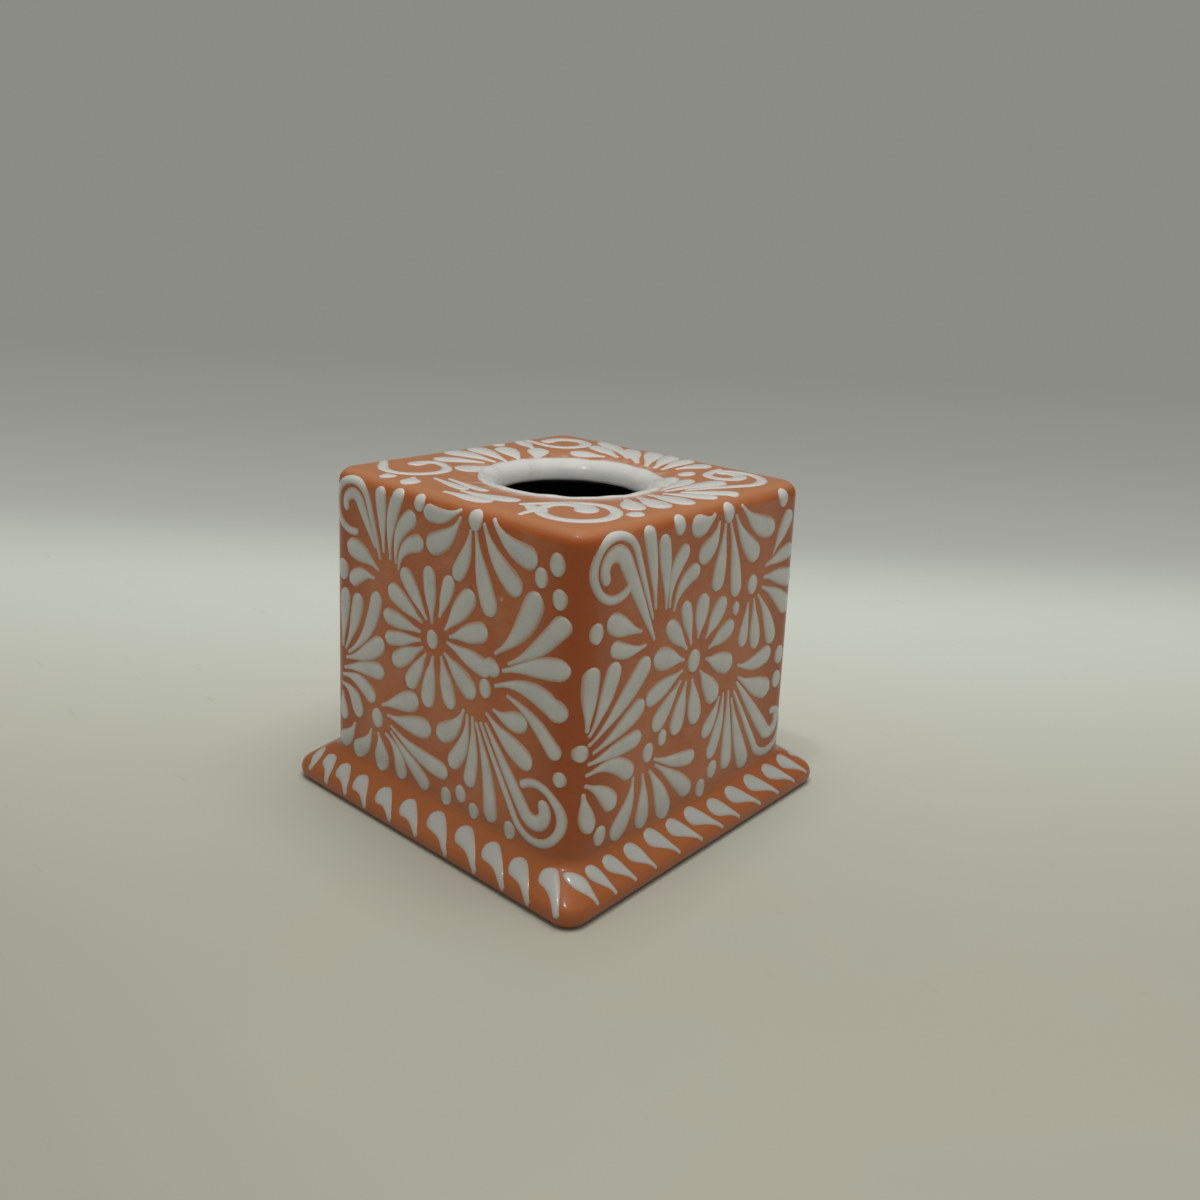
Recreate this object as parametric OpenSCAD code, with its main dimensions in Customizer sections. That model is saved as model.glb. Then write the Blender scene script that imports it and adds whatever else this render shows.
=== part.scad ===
// Square glazed earthenware cover for an upright box of tissues, trailed all over with raised slip.
// It stands on the table with its open foot down. The front is towards -Y and +Z is up.

/* [Walls] */
// Width of the cover across its top, flat face to flat face
top_w = 138; // [126:1:180]
// Height from the table to the top
body_h = 139; // [120:0.5:180]
// How far each wall leans out between the top and the foot
wall_out = 3.2; // [1:0.1:6]
// Radius of the upright corners at the top
corner_r = 9; // [8.6:0.1:18]
// Radius rolled over the edge of the top
edge_r = 5.9; // [4:0.1:7.5]
// Thickness of the fired clay in the walls
wall_t = 6; // [4:0.2:7]
// Thickness of the fired clay in the top
top_t = 8; // [6:0.2:10]

/* [Skirt] */
// How far the skirt stands out past the foot of the wall
skirt_out = 11.3; // [6:0.1:13]
// Height above the table at which the wall meets the skirt
skirt_rise = 16.5; // [14:0.1:22]
// Height at which the slope of the skirt would meet its widest edge
skirt_rim_h = 6.8; // [5:0.1:9]
// Radius of the skirt's corners, seen from above
skirt_corner_r = 9; // [8:0.1:14]
// Radius that rolls the widest edge of the skirt into its slope and under to the foot
shoulder_r = 5.2; // [4:0.1:6]
// Radius of the cove between the wall and the slope
cove_r = 5; // [3:0.1:8]
// Depth of clay at the foot, from the widest edge of the skirt inwards
foot_t = 9.2; // [7:0.1:11]

/* [Opening] */
// Radius at which the lip begins to roll into the opening
lip_r = 36.8; // [33:0.1:42]
// Radius of the throat that the tissues come out of
throat_r = 30.2; // [24:0.1:31]
// Depth of the turned-down lip below the sunken top
lip_drop = 9; // [8:0.1:12]
// How far the top sinks towards the opening
top_sag = 2; // [1:0.1:3]
// Radius on the top at which the sinking begins
sag_r = 60; // [52:0.5:60]

/* [Trailed slip] */
// Height of the raised slip above the clay
slip_h = 1.1; // [0.5:0.1:1.8]
// Width of the thin tails that the drops run out to
tail_w = 1.6; // [1:0.1:2]
// Width at which the drops on the skirt run out
skirt_tail_w = 2.8; // [1.5:0.1:3.5]
// Width of the strokes that curl into scrolls
stroke_w = 4; // [3:0.1:4.5]

/* [Hidden] */
$fn = 96;
clay_colour = [0.62, 0.31, 0.14];
slip_colour = [0.72, 0.74, 0.70];
// Overrun of every cut past the face that it opens
overrun = 1;
// Chamfer inside, where the walls meet the top
ceiling_break = 1.5;
// Straight steps that make the spine of a drop, its round head and its tip
spine_steps = 4;
head_steps = 5;
tip_steps = 2;
// Sides of a dot
dot_sides = 12;
// Straight steps round the edge of the top, the shoulder of the skirt and the cove
edge_steps = 6;
shoulder_steps = 7;
cove_steps = 3;
// Angle between the points along a scroll
scroll_step = 22;
// Slope of the direction in which the slip was trailed on the skirt
skirt_tilt = 45;
// Each side's turn from the front
front_turn = 0;
right_turn = 90;
back_turn = 180;
left_turn = 270;

// Distance from the centre to the axis of each upright corner
axis = top_w/2 - corner_r;
lean = atan(wall_out/(body_h - skirt_rise));
foot_half = top_w/2 + wall_out;
skirt_half = foot_half + skirt_out;
skirt_axis = skirt_half - skirt_corner_r;
slope = atan((skirt_rise - skirt_rim_h)/skirt_out);
// Centre of the skirt's rolled edge, from where it turns under to the foot
shoulder_z = skirt_rim_h - shoulder_r*(1 - sin(slope))/cos(slope);
// The top sinks along an arc, from level at sag_r to sag_lean at the lip
sag_arc_r = (pow(sag_r - lip_r, 2) + pow(top_sag, 2))/(2*top_sag);
sag_lean = asin((sag_r - lip_r)/sag_arc_r);
roll_r = (lip_r - throat_r)/(1 - sin(sag_lean));
roll_r_place = lip_r + roll_r*sin(sag_lean);
roll_z = body_h - top_sag - roll_r*cos(sag_lean);
lip_end_z = body_h - top_sag - lip_drop;
ceiling_z = body_h - top_t;

// The pattern's tables give each drop as [head across, head up, tail across, tail up, width, bow].
// Across and width are per-cent shares of top_w, up is a per-cent share of body_h, and bow is the
// sideways bend as a share of the drop's length, to the left on the way from head to tail.
// Layout A is on the front and the back, layout B on the two sides.
a_daisy_shares = [
    [-4.8, 77.3, -3.3, 64.4, 5.84, 0], [3.3, 76.9, -0.2, 66.9, 5.45, 0],
    [10.9, 74.4, 2.3, 63.9, 7.01, 0], [16, 66.9, 4.3, 62.4, 6.42, 0], [17.6, 57.4, 3.3, 60.4, 6, 0],
    [12, 49.9, 2.3, 56.9, 7.01, 0], [4.4, 44.4, 0.8, 55.4, 6.42, 0], [-4.7, 41.9, -2.7, 54.4, 6.45, 0],
    [-11.8, 44.9, -5.8, 54.4, 6, 0], [-17.9, 49.4, -7.3, 55.9, 6, 0], [-21.5, 54.9, -8.3, 57.9, 5, 0],
    [-22, 61.3, -8.3, 60.4, 5.5, 0], [-19.5, 68.8, -7.8, 63.4, 6.42, 0],
    [-14.5, 74.8, -5.8, 64.9, 5.84, 0], [21.1, 58.4, 16.5, 58.9, 5.8, 0]];
a_left_shares = [
    [-42.8, 62.3, -44.3, 46.4, 5.19, 0], [-36.7, 61.8, -42.8, 45.9, 5.77, 0.04],
    [-28.1, 64.3, -41.3, 44.9, 6, 0.1], [-27.1, 50.9, -42.3, 42.9, 6.5, 0.05],
    [-27.1, 42.9, -43.3, 39.4, 6, -0.03], [-31.1, 34.4, -44.3, 36.9, 6, -0.12],
    [-37.1, 27.9, -44.8, 33.9, 6.07, -0.18], [-44.2, 24.4, -44.7, 30.9, 4.9, 0],
    [-44.2, 15.5, -38.6, 22.4, 5.44, -0.1], [-11.8, 38.4, -25, 32.9, 7, 0],
    [-6.2, 31.9, -22.5, 30.4, 7.01, 0.03], [1.4, 21.5, -20.9, 27.4, 6.5, 0.05],
    [-6.2, 15.2, -20.9, 25.5, 6, 0], [-16.3, 14.9, -23.4, 24, 5.8, -0.15],
    [-25.4, 15, -27, 23, 7.01, -0.05], [-36.6, 14.8, -30.5, 23, 5.98, -0.12]];
a_right_shares = [
    [35.3, 79.4, 22.1, 62.9, 7.59, 0.08], [44.4, 75.9, 27.2, 61.4, 6.4, 0.05],
    [44.5, 64.9, 25.2, 58.9, 6.6, -0.03], [44.3, 54, 22.6, 53.9, 7.01, -0.12],
    [44, 43, 27.2, 52.4, 5.6, -0.08], [31.8, 46.5, 22.2, 46.9, 6.5, 0.08],
    [33.9, 37, 19.6, 44.9, 7.01, 0.03], [2.4, 33.4, 10.5, 42.9, 6.77, -0.1],
    [7, 26.5, 12, 41.9, 5.8, -0.1], [13.6, 23.5, 14, 41.9, 5.5, -0.05],
    [22.2, 16.5, 15.6, 40.9, 6, -0.05]];
a_upper_shares = [
    [-26.2, 95.8, -24.6, 79.8, 5, 0], [-18.6, 96.6, -21.6, 78.3, 5.5, -0.08],
    [-13.2, 91.3, -19.1, 77.8, 5.8, -0.15], [-9.9, 85.3, -18, 76.3, 5.5, -0.18],
    [-38.3, 77.8, -27.2, 73.8, 7.01, 0.05], [-38.3, 68.8, -29.2, 70.8, 5.5, 0.12],
    [-4.9, 94.8, 6.8, 97.8, 5.2, -0.1], [-2.8, 86.8, 7.3, 95.8, 7.01, -0.1],
    [7.1, 81.4, 11.4, 93.4, 5.77, -0.06], [19, 75.4, 13.4, 93.4, 7.01, 0.03],
    [27.7, 82.9, 16.4, 95.9, 7.01, 0.08], [32.7, 90.9, 19.5, 97.9, 6.58, 0.1]];
a_dot_shares = [
    [-9.5, 96.8, 2.4], [-43.9, 70.3, 3], [12.9, 96.5, 2.8], [42.4, 91.4, 2.8], [37.3, 86.9, 2.5],
    [43.7, 82.9, 2.5], [23.6, 77.9, 0.6], [18.6, 51.9, 2.6], [-27.5, 27.9, 2.9], [4, 14.5, 2.5],
    [10.1, 17.5, 2.5], [15.6, 14.4, 2.2], [29.9, 14.5, 2.4], [46.4, 35.5, 2], [-3.1, 59.6, 2.6]];
b_daisy_shares = [
    [-7.3, 72.4, -4.3, 61.9, 5.37, 0], [0.3, 71.9, -1.2, 62.9, 7.01, 0], [9, 69.4, 2.8, 61.9, 7.01, 0],
    [13.5, 61.9, 4.4, 58.4, 6.42, 0], [13.5, 51.4, 3.3, 55.4, 7.01, 0], [7.4, 43.9, 0.8, 52.4, 7.01, 0],
    [-0.8, 39.9, -2.8, 50.9, 6.76, 0], [-9.2, 39.4, -5.8, 50.9, 6.76, 0],
    [-17.5, 42.9, -8.4, 51.9, 6.52, 0], [-20.6, 50.9, -7.8, 54.9, 6.3, 0],
    [-17.5, 60.9, -7.3, 57.9, 7.01, 0], [-13.4, 68.4, -6.3, 60.9, 5.91, 0]];
b_left_shares = [
    [-45, 62.9, -46.2, 49, 6.07, 0], [-37.3, 61.9, -45.5, 47.5, 6.99, 0.04],
    [-25.1, 60.4, -45.5, 45, 6.8, 0.04], [-26.7, 49.4, -44, 42.5, 6, 0.04],
    [-27.7, 40.9, -45.5, 39.7, 6, 0], [-30.2, 32.5, -46, 36.7, 6, -0.14],
    [-36.9, 26, -46.2, 33.7, 6.07, -0.06], [-45, 22.3, -46.8, 31.3, 5.37, 0.03],
    [-33.3, 16.5, -27.7, 29.5, 7.24, -0.1], [-2.3, 26.9, -18.6, 31.9, 5.5, 0.04],
    [-3.3, 17.5, -18, 29.9, 6.2, -0.02], [-13.5, 15.2, -20.6, 29, 7.01, -0.04],
    [-23.2, 15.5, -23.6, 29, 6.07, -0.04]];
b_right_shares = [
    [34.8, 48.4, 20.1, 48.9, 6.5, 0.08], [35.3, 37.4, 20.6, 44.9, 7.24, 0.03],
    [5.8, 32.9, 11.1, 41.4, 5.8, -0.06], [8.9, 25.4, 13.2, 41.9, 6, -0.06],
    [17, 19.4, 15.8, 41.9, 6.3, 0], [26.1, 16.4, 17.8, 38.9, 6.3, 0.02], [41.5, 89.8, 34.9, 80.3, 6, 0],
    [43.5, 79.8, 31.3, 77.3, 5.5, 0], [44, 71.3, 30.8, 73.8, 6.42, -0.03],
    [43.5, 62.8, 30.3, 70.8, 6.42, -0.05], [36.8, 54.3, 28.3, 68.8, 6, -0.05],
    [28.2, 54.9, 26.2, 67.8, 6.05, 0], [21.6, 56.9, 23.2, 67.3, 5.44, 0]];
b_upper_shares = [
    [-24.5, 95.9, -21, 75.9, 5.4, 0.02], [-18.2, 92.4, -16.4, 74.9, 5.8, 0.02],
    [-9.8, 88.4, -14.9, 74.9, 5.8, -0.12], [-4.7, 82.4, -12.9, 73.4, 5.61, -0.15],
    [-37.3, 75.4, -26.6, 70.9, 6.53, -0.02], [-36.3, 68.4, -24.6, 66.6, 5.24, -0.08],
    [-3.7, 94.8, 3.9, 96.8, 6.54, -0.1], [0.4, 86.8, 6, 94.3, 7.24, -0.12],
    [6.9, 77.8, 9, 93.3, 6.77, -0.02], [16.1, 73.8, 11.5, 93.3, 6, -0.03],
    [24.2, 82.8, 14.1, 94.8, 6.77, 0.06], [31.3, 88.8, 17.1, 97.3, 7.01, 0.08]];
b_dot_shares = [
    [-43.9, 74.4, 2.6], [-11.8, 96.6, 2.7], [10.5, 96.5, 2.8], [38.5, 96.6, 2.7], [16.9, 67.3, 2],
    [24.7, 72.8, 2.8], [-47.6, 43, 2.2], [-2.5, 56.4, 3.2], [-40.8, 17.5, 2.7], [-21.6, 34.9, 2.7],
    [-15.5, 37.4, 2.3], [4.3, 14.7, 2.6], [9.7, 18.8, 2.7], [42.9, 46.4, 2.8], [42.4, 38.4, 2.7]];
// Scrolls: [tail across, tail up, centre across, centre up, first radius, last radius, sweep in
// degrees (+ turns to the left)] and the widths where the curl begins and ends, as shares of stroke_w
a_scroll_shares = [
    [-26.2, 77.3, -39, 90.2, 7.8, 7.5, 262, 1, 0.9], [-28.4, 80.3, -39, 90.3, 3.9, 3, 160, 1.4, 1],
    [17.4, 41.4, 39.2, 23.5, 8.8, 8.1, 275, 0.97, 0.97],
    [19.4, 41.9, 38.8, 24.5, 4.3, 3.7, 165, 1.8, 1.6]];
b_scroll_shares = [
    [-22, 73.4, -37.2, 89.6, 8.5, 8.1, 262, 0.97, 0.97],
    [-21, 67.4, -37.8, 89.4, 4.3, 3.7, 180, 1.85, 1.1],
    [18.9, 40.9, 40.3, 22.7, 8.9, 5.5, 230, 1.03, 0.97], [20.1, 43.4, 40.8, 24.4, 3.7, 3, 165, 1.85, 1]];
// The same on the top, where up is the way to the back and its shares are of top_w too
top_scroll_shares = [
    [18.3, -39, 32.8, -32.9, 10, 9.8, -280, 0.97, 0.97],
    [25.5, -46.3, 29.6, -33, 6, 4.6, -150, 0.9, 1.9],
    [-48.5, -31.5, -33.8, -31.4, 9.5, 9.2, 235, 0.9, 0.9],
    [-31, -22.2, -34.5, -27, 5.3, 3.2, 110, 0.9, 1.7],
    [-48.5, 27.8, -35.2, 34.5, 8.3, 6, 300, 0.9, 1.5], [34.8, 11, 33, 33.5, 10.5, 10, 170, 0.95, 0.9],
    [23.8, 42.5, 30.6, 35.6, 5.4, 4.2, 300, 0.9, 1.4]];
top_spray_shares = [
    [-43.8, -6.8, -29.6, -3.6, 7.26, 0], [-43.4, 2.4, -28.8, 0.6, 6.63, 0],
    [-38.4, 9.9, -28, 6, 6.53, 0], [-31.3, 17.7, -26, 11.8, 6.43, 0], [-37.8, -16.3, -30, -8, 6.53, 0],
    [-25.7, -18.5, -26.2, -10.8, 6.43, 0], [-44.3, 23.2, -35.5, 19.2, 4.56, 0],
    [-22.8, 37.6, -10, 32.6, 5.8, 0], [-21, 27, -13.4, 29.8, 6.01, 0], [-26, 45.6, -6.8, 34, 5.4, 0.03],
    [-12.3, 42.4, -0.8, 31.8, 5.4, 0], [-4.5, 45.5, 3.8, 30.8, 5.6, 0], [2.7, 45, 7.6, 30.4, 5.39, 0],
    [9.6, 43.5, 10.9, 30.2, 5.18, 0], [17.4, 41.8, 14.4, 33, 5.39, 0], [20.9, 21.1, 24.8, 12.9, 4.4, 0],
    [27, 20.5, 27.8, 8.6, 5.26, 0], [35, 24.8, 30.4, 7, 5.6, 0], [45, 16.8, 35.6, 7.6, 5.12, 0.03],
    [43.5, 7.8, 32.6, 3.2, 5.87, 0.05], [43, -2.2, 30.5, -0.8, 6.53, 0],
    [41.5, -10.5, 30.5, -5.8, 6.43, 0], [38.8, -17.8, 30.3, -10.6, 6.01, 0],
    [12.3, -37.6, -2.5, -40.8, 5.4, 0.05], [9, -43.9, -4.5, -45.2, 4.8, 0],
    [-1, -35, -16, -33.3, 2.07, 0], [-5, -38.6, -18.5, -36.6, 2.07, 0],
    [-29.3, -45, -31.2, -43.8, 4.15, 0], [-19.7, -44.8, -23, -41, 4.97, 0]];
top_dot_shares = [
    [20.9, 29.2, 2.8], [44.2, -23.6, 2.5], [-45.5, 13.5, 2.2]];
// Skirt drops: [head across, head up, tail across, tail up, width], where across and width are shares of
// top_w and up is a share of the way up the slant from the table to the wall
a_skirt_shares = [
    [-52.6, 57, -51.9, 28, 4.6], [-46.3, 60, -42.9, 20, 5.4], [-38.4, 56, -33.2, 20, 5.9],
    [-29.1, 52, -23.6, 18, 6.2], [-18.1, 53, -11.7, 20, 6.3], [-7.1, 56, 0.1, 20, 6.4],
    [4.5, 62, 13, 17, 6.4], [16.1, 64, 24.9, 17, 6.4], [27.3, 62, 35.9, 17, 6.3],
    [37.6, 62, 45.3, 17, 6.1], [47.5, 72, 55.3, 22, 5.6]];
b_skirt_shares = [
    [-51.2, 72, -49.6, 26, 4.6], [-45.7, 76, -42.4, 25, 4.9], [-38.9, 75, -34.1, 26, 5.4],
    [-30.2, 73, -25.6, 26, 5.8], [-21, 77, -14.8, 26, 6], [-11.6, 72, -4.4, 24, 6],
    [-2.9, 74, 5.9, 23, 5.9], [7.3, 66, 14.6, 22, 6], [17, 69, 26, 22, 6], [27.3, 70, 36.2, 21, 6],
    [37.6, 71, 45.9, 24, 5.9], [46.4, 74, 53.6, 27, 5.3]];
// Fullness of a drop: above one the body stays wide for longer before the tail
petal_fullness = 1.5;
spray_fullness = 1.25;
skirt_fullness = 1;

// Half width of the wall beyond the corner axis, at a height
function wall_at(z) = corner_r + wall_out*(body_h - z)/(body_h - skirt_rise);

// Carries an outline of [distance beyond the corner axis, height] round the four sides and corners
module around(a) {
    for (k = [0:3]) rotate([0, 0, 90*k]) {
        along(a) children();
        turning(a) children();
    }
}
// The same along the front alone, and round one corner or both of its corners
module along(a) { translate([a, -a, 0]) rotate([90, 0, -90]) linear_extrude(2*a) children(); }
module turning(a) { translate([a, a, 0]) rotate_extrude(angle = 90) children(); }
module front_of(a) {
    along(a) children();
    rotate([0, 0, -90]) turning(a) children();
    rotate([0, 0, 180]) turning(a) children();
}

// Square block that fills the middle between the corner axes
module middle(a, h) { translate([-a, -a, 0]) cube([2*a, 2*a, h]); }

// Points along an arc about c, from one direction to another
function arc(c, r, from, to, steps) =
    [for (k = [0:steps]) let (a = from + (to - from)*k/steps) c + r*[cos(a), sin(a)]];

// Outline of the wall and its rolled top edge, grown outwards by g
module wall_outline(g) {
    c = [corner_r - edge_r*(1 - sin(lean))/cos(lean), body_h - edge_r];
    polygon(concat([[0, 0], [wall_at(0) + g/cos(lean), 0]],
        arc(c, edge_r + g, lean, 90, edge_steps), [[0, body_h + g]]));
}

// Outline of the skirt beyond its own corner axis, grown outwards by g
module skirt_outline(g) {
    c = [skirt_corner_r - shoulder_r, shoulder_z];
    polygon(concat([[0, 0]], arc(c, shoulder_r + g, -asin(shoulder_z/(shoulder_r + g)), 90 - slope,
        shoulder_steps), [[0, skirt_top(g)]]));
}
function skirt_top(g) = skirt_rim_h + skirt_corner_r*tan(slope) + g/cos(slope);

// Outline of the cove, tangent to the wall and to the slope; growing it shrinks its radius.
// It reaches back to the corner axis, so that it joins the wall and the skirt in their depth.
module cove_outline(g) {
    foot = [wall_at(skirt_rise), skirt_rise];
    wall_way = [-sin(lean), cos(lean)];
    slope_way = [cos(slope), -sin(slope)];
    half_angle = (90 + lean + slope)/2;
    c = foot + (wall_way + slope_way)/norm(wall_way + slope_way)*cove_r/sin(half_angle);
    curve = arc(c, cove_r - g, 180 + lean, 270 - slope, cove_steps);
    polygon(concat([[0, curve[cove_steps][1]], [0, curve[0][1]]], curve));
}

// Middle of the skirt: its four slopes go on inwards into the walls and meet on the diagonals
module slopes(g) {
    inner = skirt_axis - wall_t;
    intersection_for (turn = [front_turn, right_turn]) rotate([90, 0, turn])
        linear_extrude(2*skirt_axis, center = true)
            polygon([[-skirt_axis, 0], [skirt_axis, 0], [skirt_axis, skirt_top(g)],
                [inner, skirt_top(g) + wall_t*tan(slope)], [-inner, skirt_top(g) + wall_t*tan(slope)],
                [-skirt_axis, skirt_top(g)]]);
}

// The four walls and the sunken top, solid inside and grown outwards by g
module walls(g) {
    difference() {
        union() {
            around(axis) wall_outline(g);
            middle(axis, body_h + g);
        }
        // The top sinks along a rounded shoulder towards the opening
        rotate_extrude() difference() {
            translate([0, body_h + g - 2*top_sag]) square([sag_r, 4*top_sag]);
            translate([sag_r, body_h - sag_arc_r]) circle(sag_arc_r + g);
        }
    }
}

// The skirt and the cove above it, solid inside
module skirt() {
    around(skirt_axis) skirt_outline(0);
    slopes(0);
    around(axis) cove_outline(0);
}

// The front wall with its two corners, cove and skirt, grown outwards by g
module front_clay(g) {
    front_of(axis) wall_outline(g);
    front_of(skirt_axis) skirt_outline(g);
    slopes(g);
    front_of(axis) cove_outline(g);
}

// Room for the tissue box, flaring out under the skirt
module hollow() {
    foot_in = skirt_half - foot_t - axis;
    wall_in = wall_at(skirt_rim_h) - wall_t;
    top_in = wall_at(ceiling_z) - wall_t;
    translate([0, 0, -overrun]) middle(axis, ceiling_z + overrun);
    around(axis) polygon([[0, -overrun], [foot_in, -overrun], [foot_in, skirt_rim_h/4],
        [wall_in, skirt_rim_h], [top_in, ceiling_z - ceiling_break], [top_in - ceiling_break, ceiling_z],
        [0, ceiling_z]]);
}

// Throat that widens upwards along the roll of the lip
module throat() {
    rotate_extrude() {
        translate([0, lip_end_z - overrun]) square([throat_r, body_h - lip_end_z + 2*overrun]);
        difference() {
            translate([0, roll_z]) square([roll_r_place, body_h - roll_z + overrun]);
            translate([roll_r_place, roll_z]) circle(roll_r);
            translate([lip_r, roll_z]) square([roll_r, body_h]);
        }
    }
}

// Collar that hangs below the ceiling round the throat
module collar() {
    rotate_extrude() {
        translate([throat_r, lip_end_z + wall_t/2]) square([wall_t, ceiling_z - lip_end_z]);
        translate([throat_r + wall_t/2, lip_end_z + wall_t/2]) circle(wall_t/2);
    }
}

module shell() {
    color(clay_colour) difference() {
        union() {
            difference() {
                union() {
                    walls(0);
                    skirt();
                }
                hollow();
            }
            collar();
        }
        throat();
    }
}

// Slip brushed over the roll of the lip and down as far as the collar's rounded end
module lip_slip() {
    c = [roll_r_place, roll_z];
    color(slip_colour) rotate_extrude() difference() {
        intersection() {
            translate(c) circle(roll_r + slip_h);
            polygon([c, c - [2*roll_r, 0], c + 2*roll_r*[-1, 1],
                c + 2*roll_r*[-sin(sag_lean), cos(sag_lean)]]);
            translate([0, lip_end_z + wall_t/2]) square([roll_r_place, body_h]);
        }
        translate(c) circle(roll_r);
    }
}

// Points along a spine, offset to either bank and closed by round ends
function left_of(v) = [-v[1], v[0]];
function course(p, i) = let (v = p[min(i + 1, len(p) - 1)] - p[max(i - 1, 0)]) v/norm(v);
function bank(p, half, side) = [for (i = [0:len(p) - 1]) p[i] + side*half[i]*left_of(course(p, i))];
function round_end(c, way, r, steps) =
    [for (k = [1:steps - 1]) c + r*(cos(k*180/steps)*left_of(way) + sin(k*180/steps)*way)];
function turned_back(list) = [for (i = [len(list) - 1:-1:0]) list[i]];
function band(p, half) = let (n = len(p) - 1) concat(
    bank(p, half, 1), round_end(p[n], course(p, n), half[n], tip_steps),
    turned_back(bank(p, half, -1)), round_end(p[0], -course(p, 0), half[0], head_steps));

// Width of a drop along its length: a full head that falls away in an S to the tail
function fall(t, fullness) = (1 - cos(180*pow(t, fullness)))/2;
function bowed(head, tail, bow, t) = let (bend = (head + tail)/2 + 2*bow*left_of(tail - head))
    (1 - t)*(1 - t)*head + 2*t*(1 - t)*bend + t*t*tail;
function drop(head, tail, w, bow, fullness, w_tail) = band(
    [for (i = [0:spine_steps]) bowed(head, tail, bow, i/spine_steps)],
    [for (i = [0:spine_steps]) let (f = fall(i/spine_steps, fullness)) (w*(1 - f) + w_tail*f)/2]);

// A stroke that runs straight from its tail and then curls round a centre
function scroll(tail, c, r0, r1, sweep, w_curl, w_end) =
    let (away = tail - c, side = sign(sweep),
        first = atan2(away[1], away[0]) + side*acos(r0/norm(away)),
        steps = ceil(abs(sweep)/scroll_step),
        curl = [for (i = [0:steps]) let (t = i/steps)
            c + (r0 + (r1 - r0)*t)*[cos(first + sweep*t), sin(first + sweep*t)]],
        half = [for (i = [0:steps]) (w_curl + (w_end - w_curl)*i/steps)/2])
    band(concat([tail, (tail + curl[0])/2], curl), concat([tail_w/2, (tail_w + w_curl)/4], half));

// Draw the rows of a table, on a field as wide as w and as high as h
module drops(shares, fullness, w, h) {
    for (s = shares) polygon(drop([s[0]*w, s[1]*h]/100, [s[2]*w, s[3]*h]/100, s[4]*w/100, s[5], fullness,
        tail_w));
}
module scrolls(shares, w, h) {
    for (s = shares) polygon(scroll([s[0]*w, s[1]*h]/100, [s[2]*w, s[3]*h]/100, s[4]*w/100, s[5]*w/100,
        s[6], s[7]*stroke_w, s[8]*stroke_w));
}
module dots(shares, w, h) {
    for (s = shares) translate([s[0]*w, s[1]*h]/100) circle(s[2]*w/100, $fn = dot_sides);
}

// Slip laid on the clay as a skin, kept only under the outlines that are trailed from one direction
module laid_on_front(turn) {
    color(slip_colour) rotate([0, 0, turn]) difference() {
        intersection() {
            children();
            front_clay(slip_h);
        }
        front_clay(0);
    }
}
module on_wall(turn) {
    laid_on_front(turn) rotate([90, 0, 0]) translate([0, 0, axis]) linear_extrude(top_w/2) children();
}
module on_skirt(turn) {
    laid_on_front(turn) translate([0, -skirt_half, 0]) rotate([skirt_tilt, 0, 0])
        translate([0, 0, -wall_t/2]) linear_extrude(skirt_rise) children();
}
// The same on the top, where the slip stays clear of the coat on the lip
module on_top() {
    color(slip_colour) difference() {
        intersection() {
            translate([0, 0, body_h - edge_r]) linear_extrude(edge_r + slip_h + overrun) difference() {
                children();
                circle(lip_r);
            }
            walls(slip_h);
        }
        walls(0);
    }
}

module wall_drops(turn, shares, fullness) { on_wall(turn) drops(shares, fullness, top_w, body_h); }
module wall_scrolls(turn, shares) { on_wall(turn) scrolls(shares, top_w, body_h); }
module wall_dots(turn, shares) { on_wall(turn) dots(shares, top_w, body_h); }

// A row of drops along the skirt
module skirt_drops(turn, shares) {
    slant = skirt_out*cos(skirt_tilt) + skirt_rise*sin(skirt_tilt);
    on_skirt(turn) for (s = shares)
        polygon(drop([s[0]*top_w, s[1]*slant]/100, [s[2]*top_w, s[3]*slant]/100, s[4]*top_w/100, 0,
            skirt_fullness, skirt_tail_w));
}

module front_daisy() { wall_drops(front_turn, a_daisy_shares, petal_fullness); }
module front_scrolls() { wall_scrolls(front_turn, a_scroll_shares); }
module front_left_sprays() { wall_drops(front_turn, a_left_shares, spray_fullness); }
module front_right_sprays() { wall_drops(front_turn, a_right_shares, spray_fullness); }
module front_upper_sprays() { wall_drops(front_turn, a_upper_shares, spray_fullness); }
module front_dots() { wall_dots(front_turn, a_dot_shares); }
module front_skirt_drops() { skirt_drops(front_turn, a_skirt_shares); }

module right_daisy() { wall_drops(right_turn, b_daisy_shares, petal_fullness); }
module right_scrolls() { wall_scrolls(right_turn, b_scroll_shares); }
module right_left_sprays() { wall_drops(right_turn, b_left_shares, spray_fullness); }
module right_right_sprays() { wall_drops(right_turn, b_right_shares, spray_fullness); }
module right_upper_sprays() { wall_drops(right_turn, b_upper_shares, spray_fullness); }
module right_dots() { wall_dots(right_turn, b_dot_shares); }
module right_skirt_drops() { skirt_drops(right_turn, b_skirt_shares); }

module back_daisy() { wall_drops(back_turn, a_daisy_shares, petal_fullness); }
module back_scrolls() { wall_scrolls(back_turn, a_scroll_shares); }
module back_left_sprays() { wall_drops(back_turn, a_left_shares, spray_fullness); }
module back_right_sprays() { wall_drops(back_turn, a_right_shares, spray_fullness); }
module back_upper_sprays() { wall_drops(back_turn, a_upper_shares, spray_fullness); }
module back_dots() { wall_dots(back_turn, a_dot_shares); }
module back_skirt_drops() { skirt_drops(back_turn, a_skirt_shares); }

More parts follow.
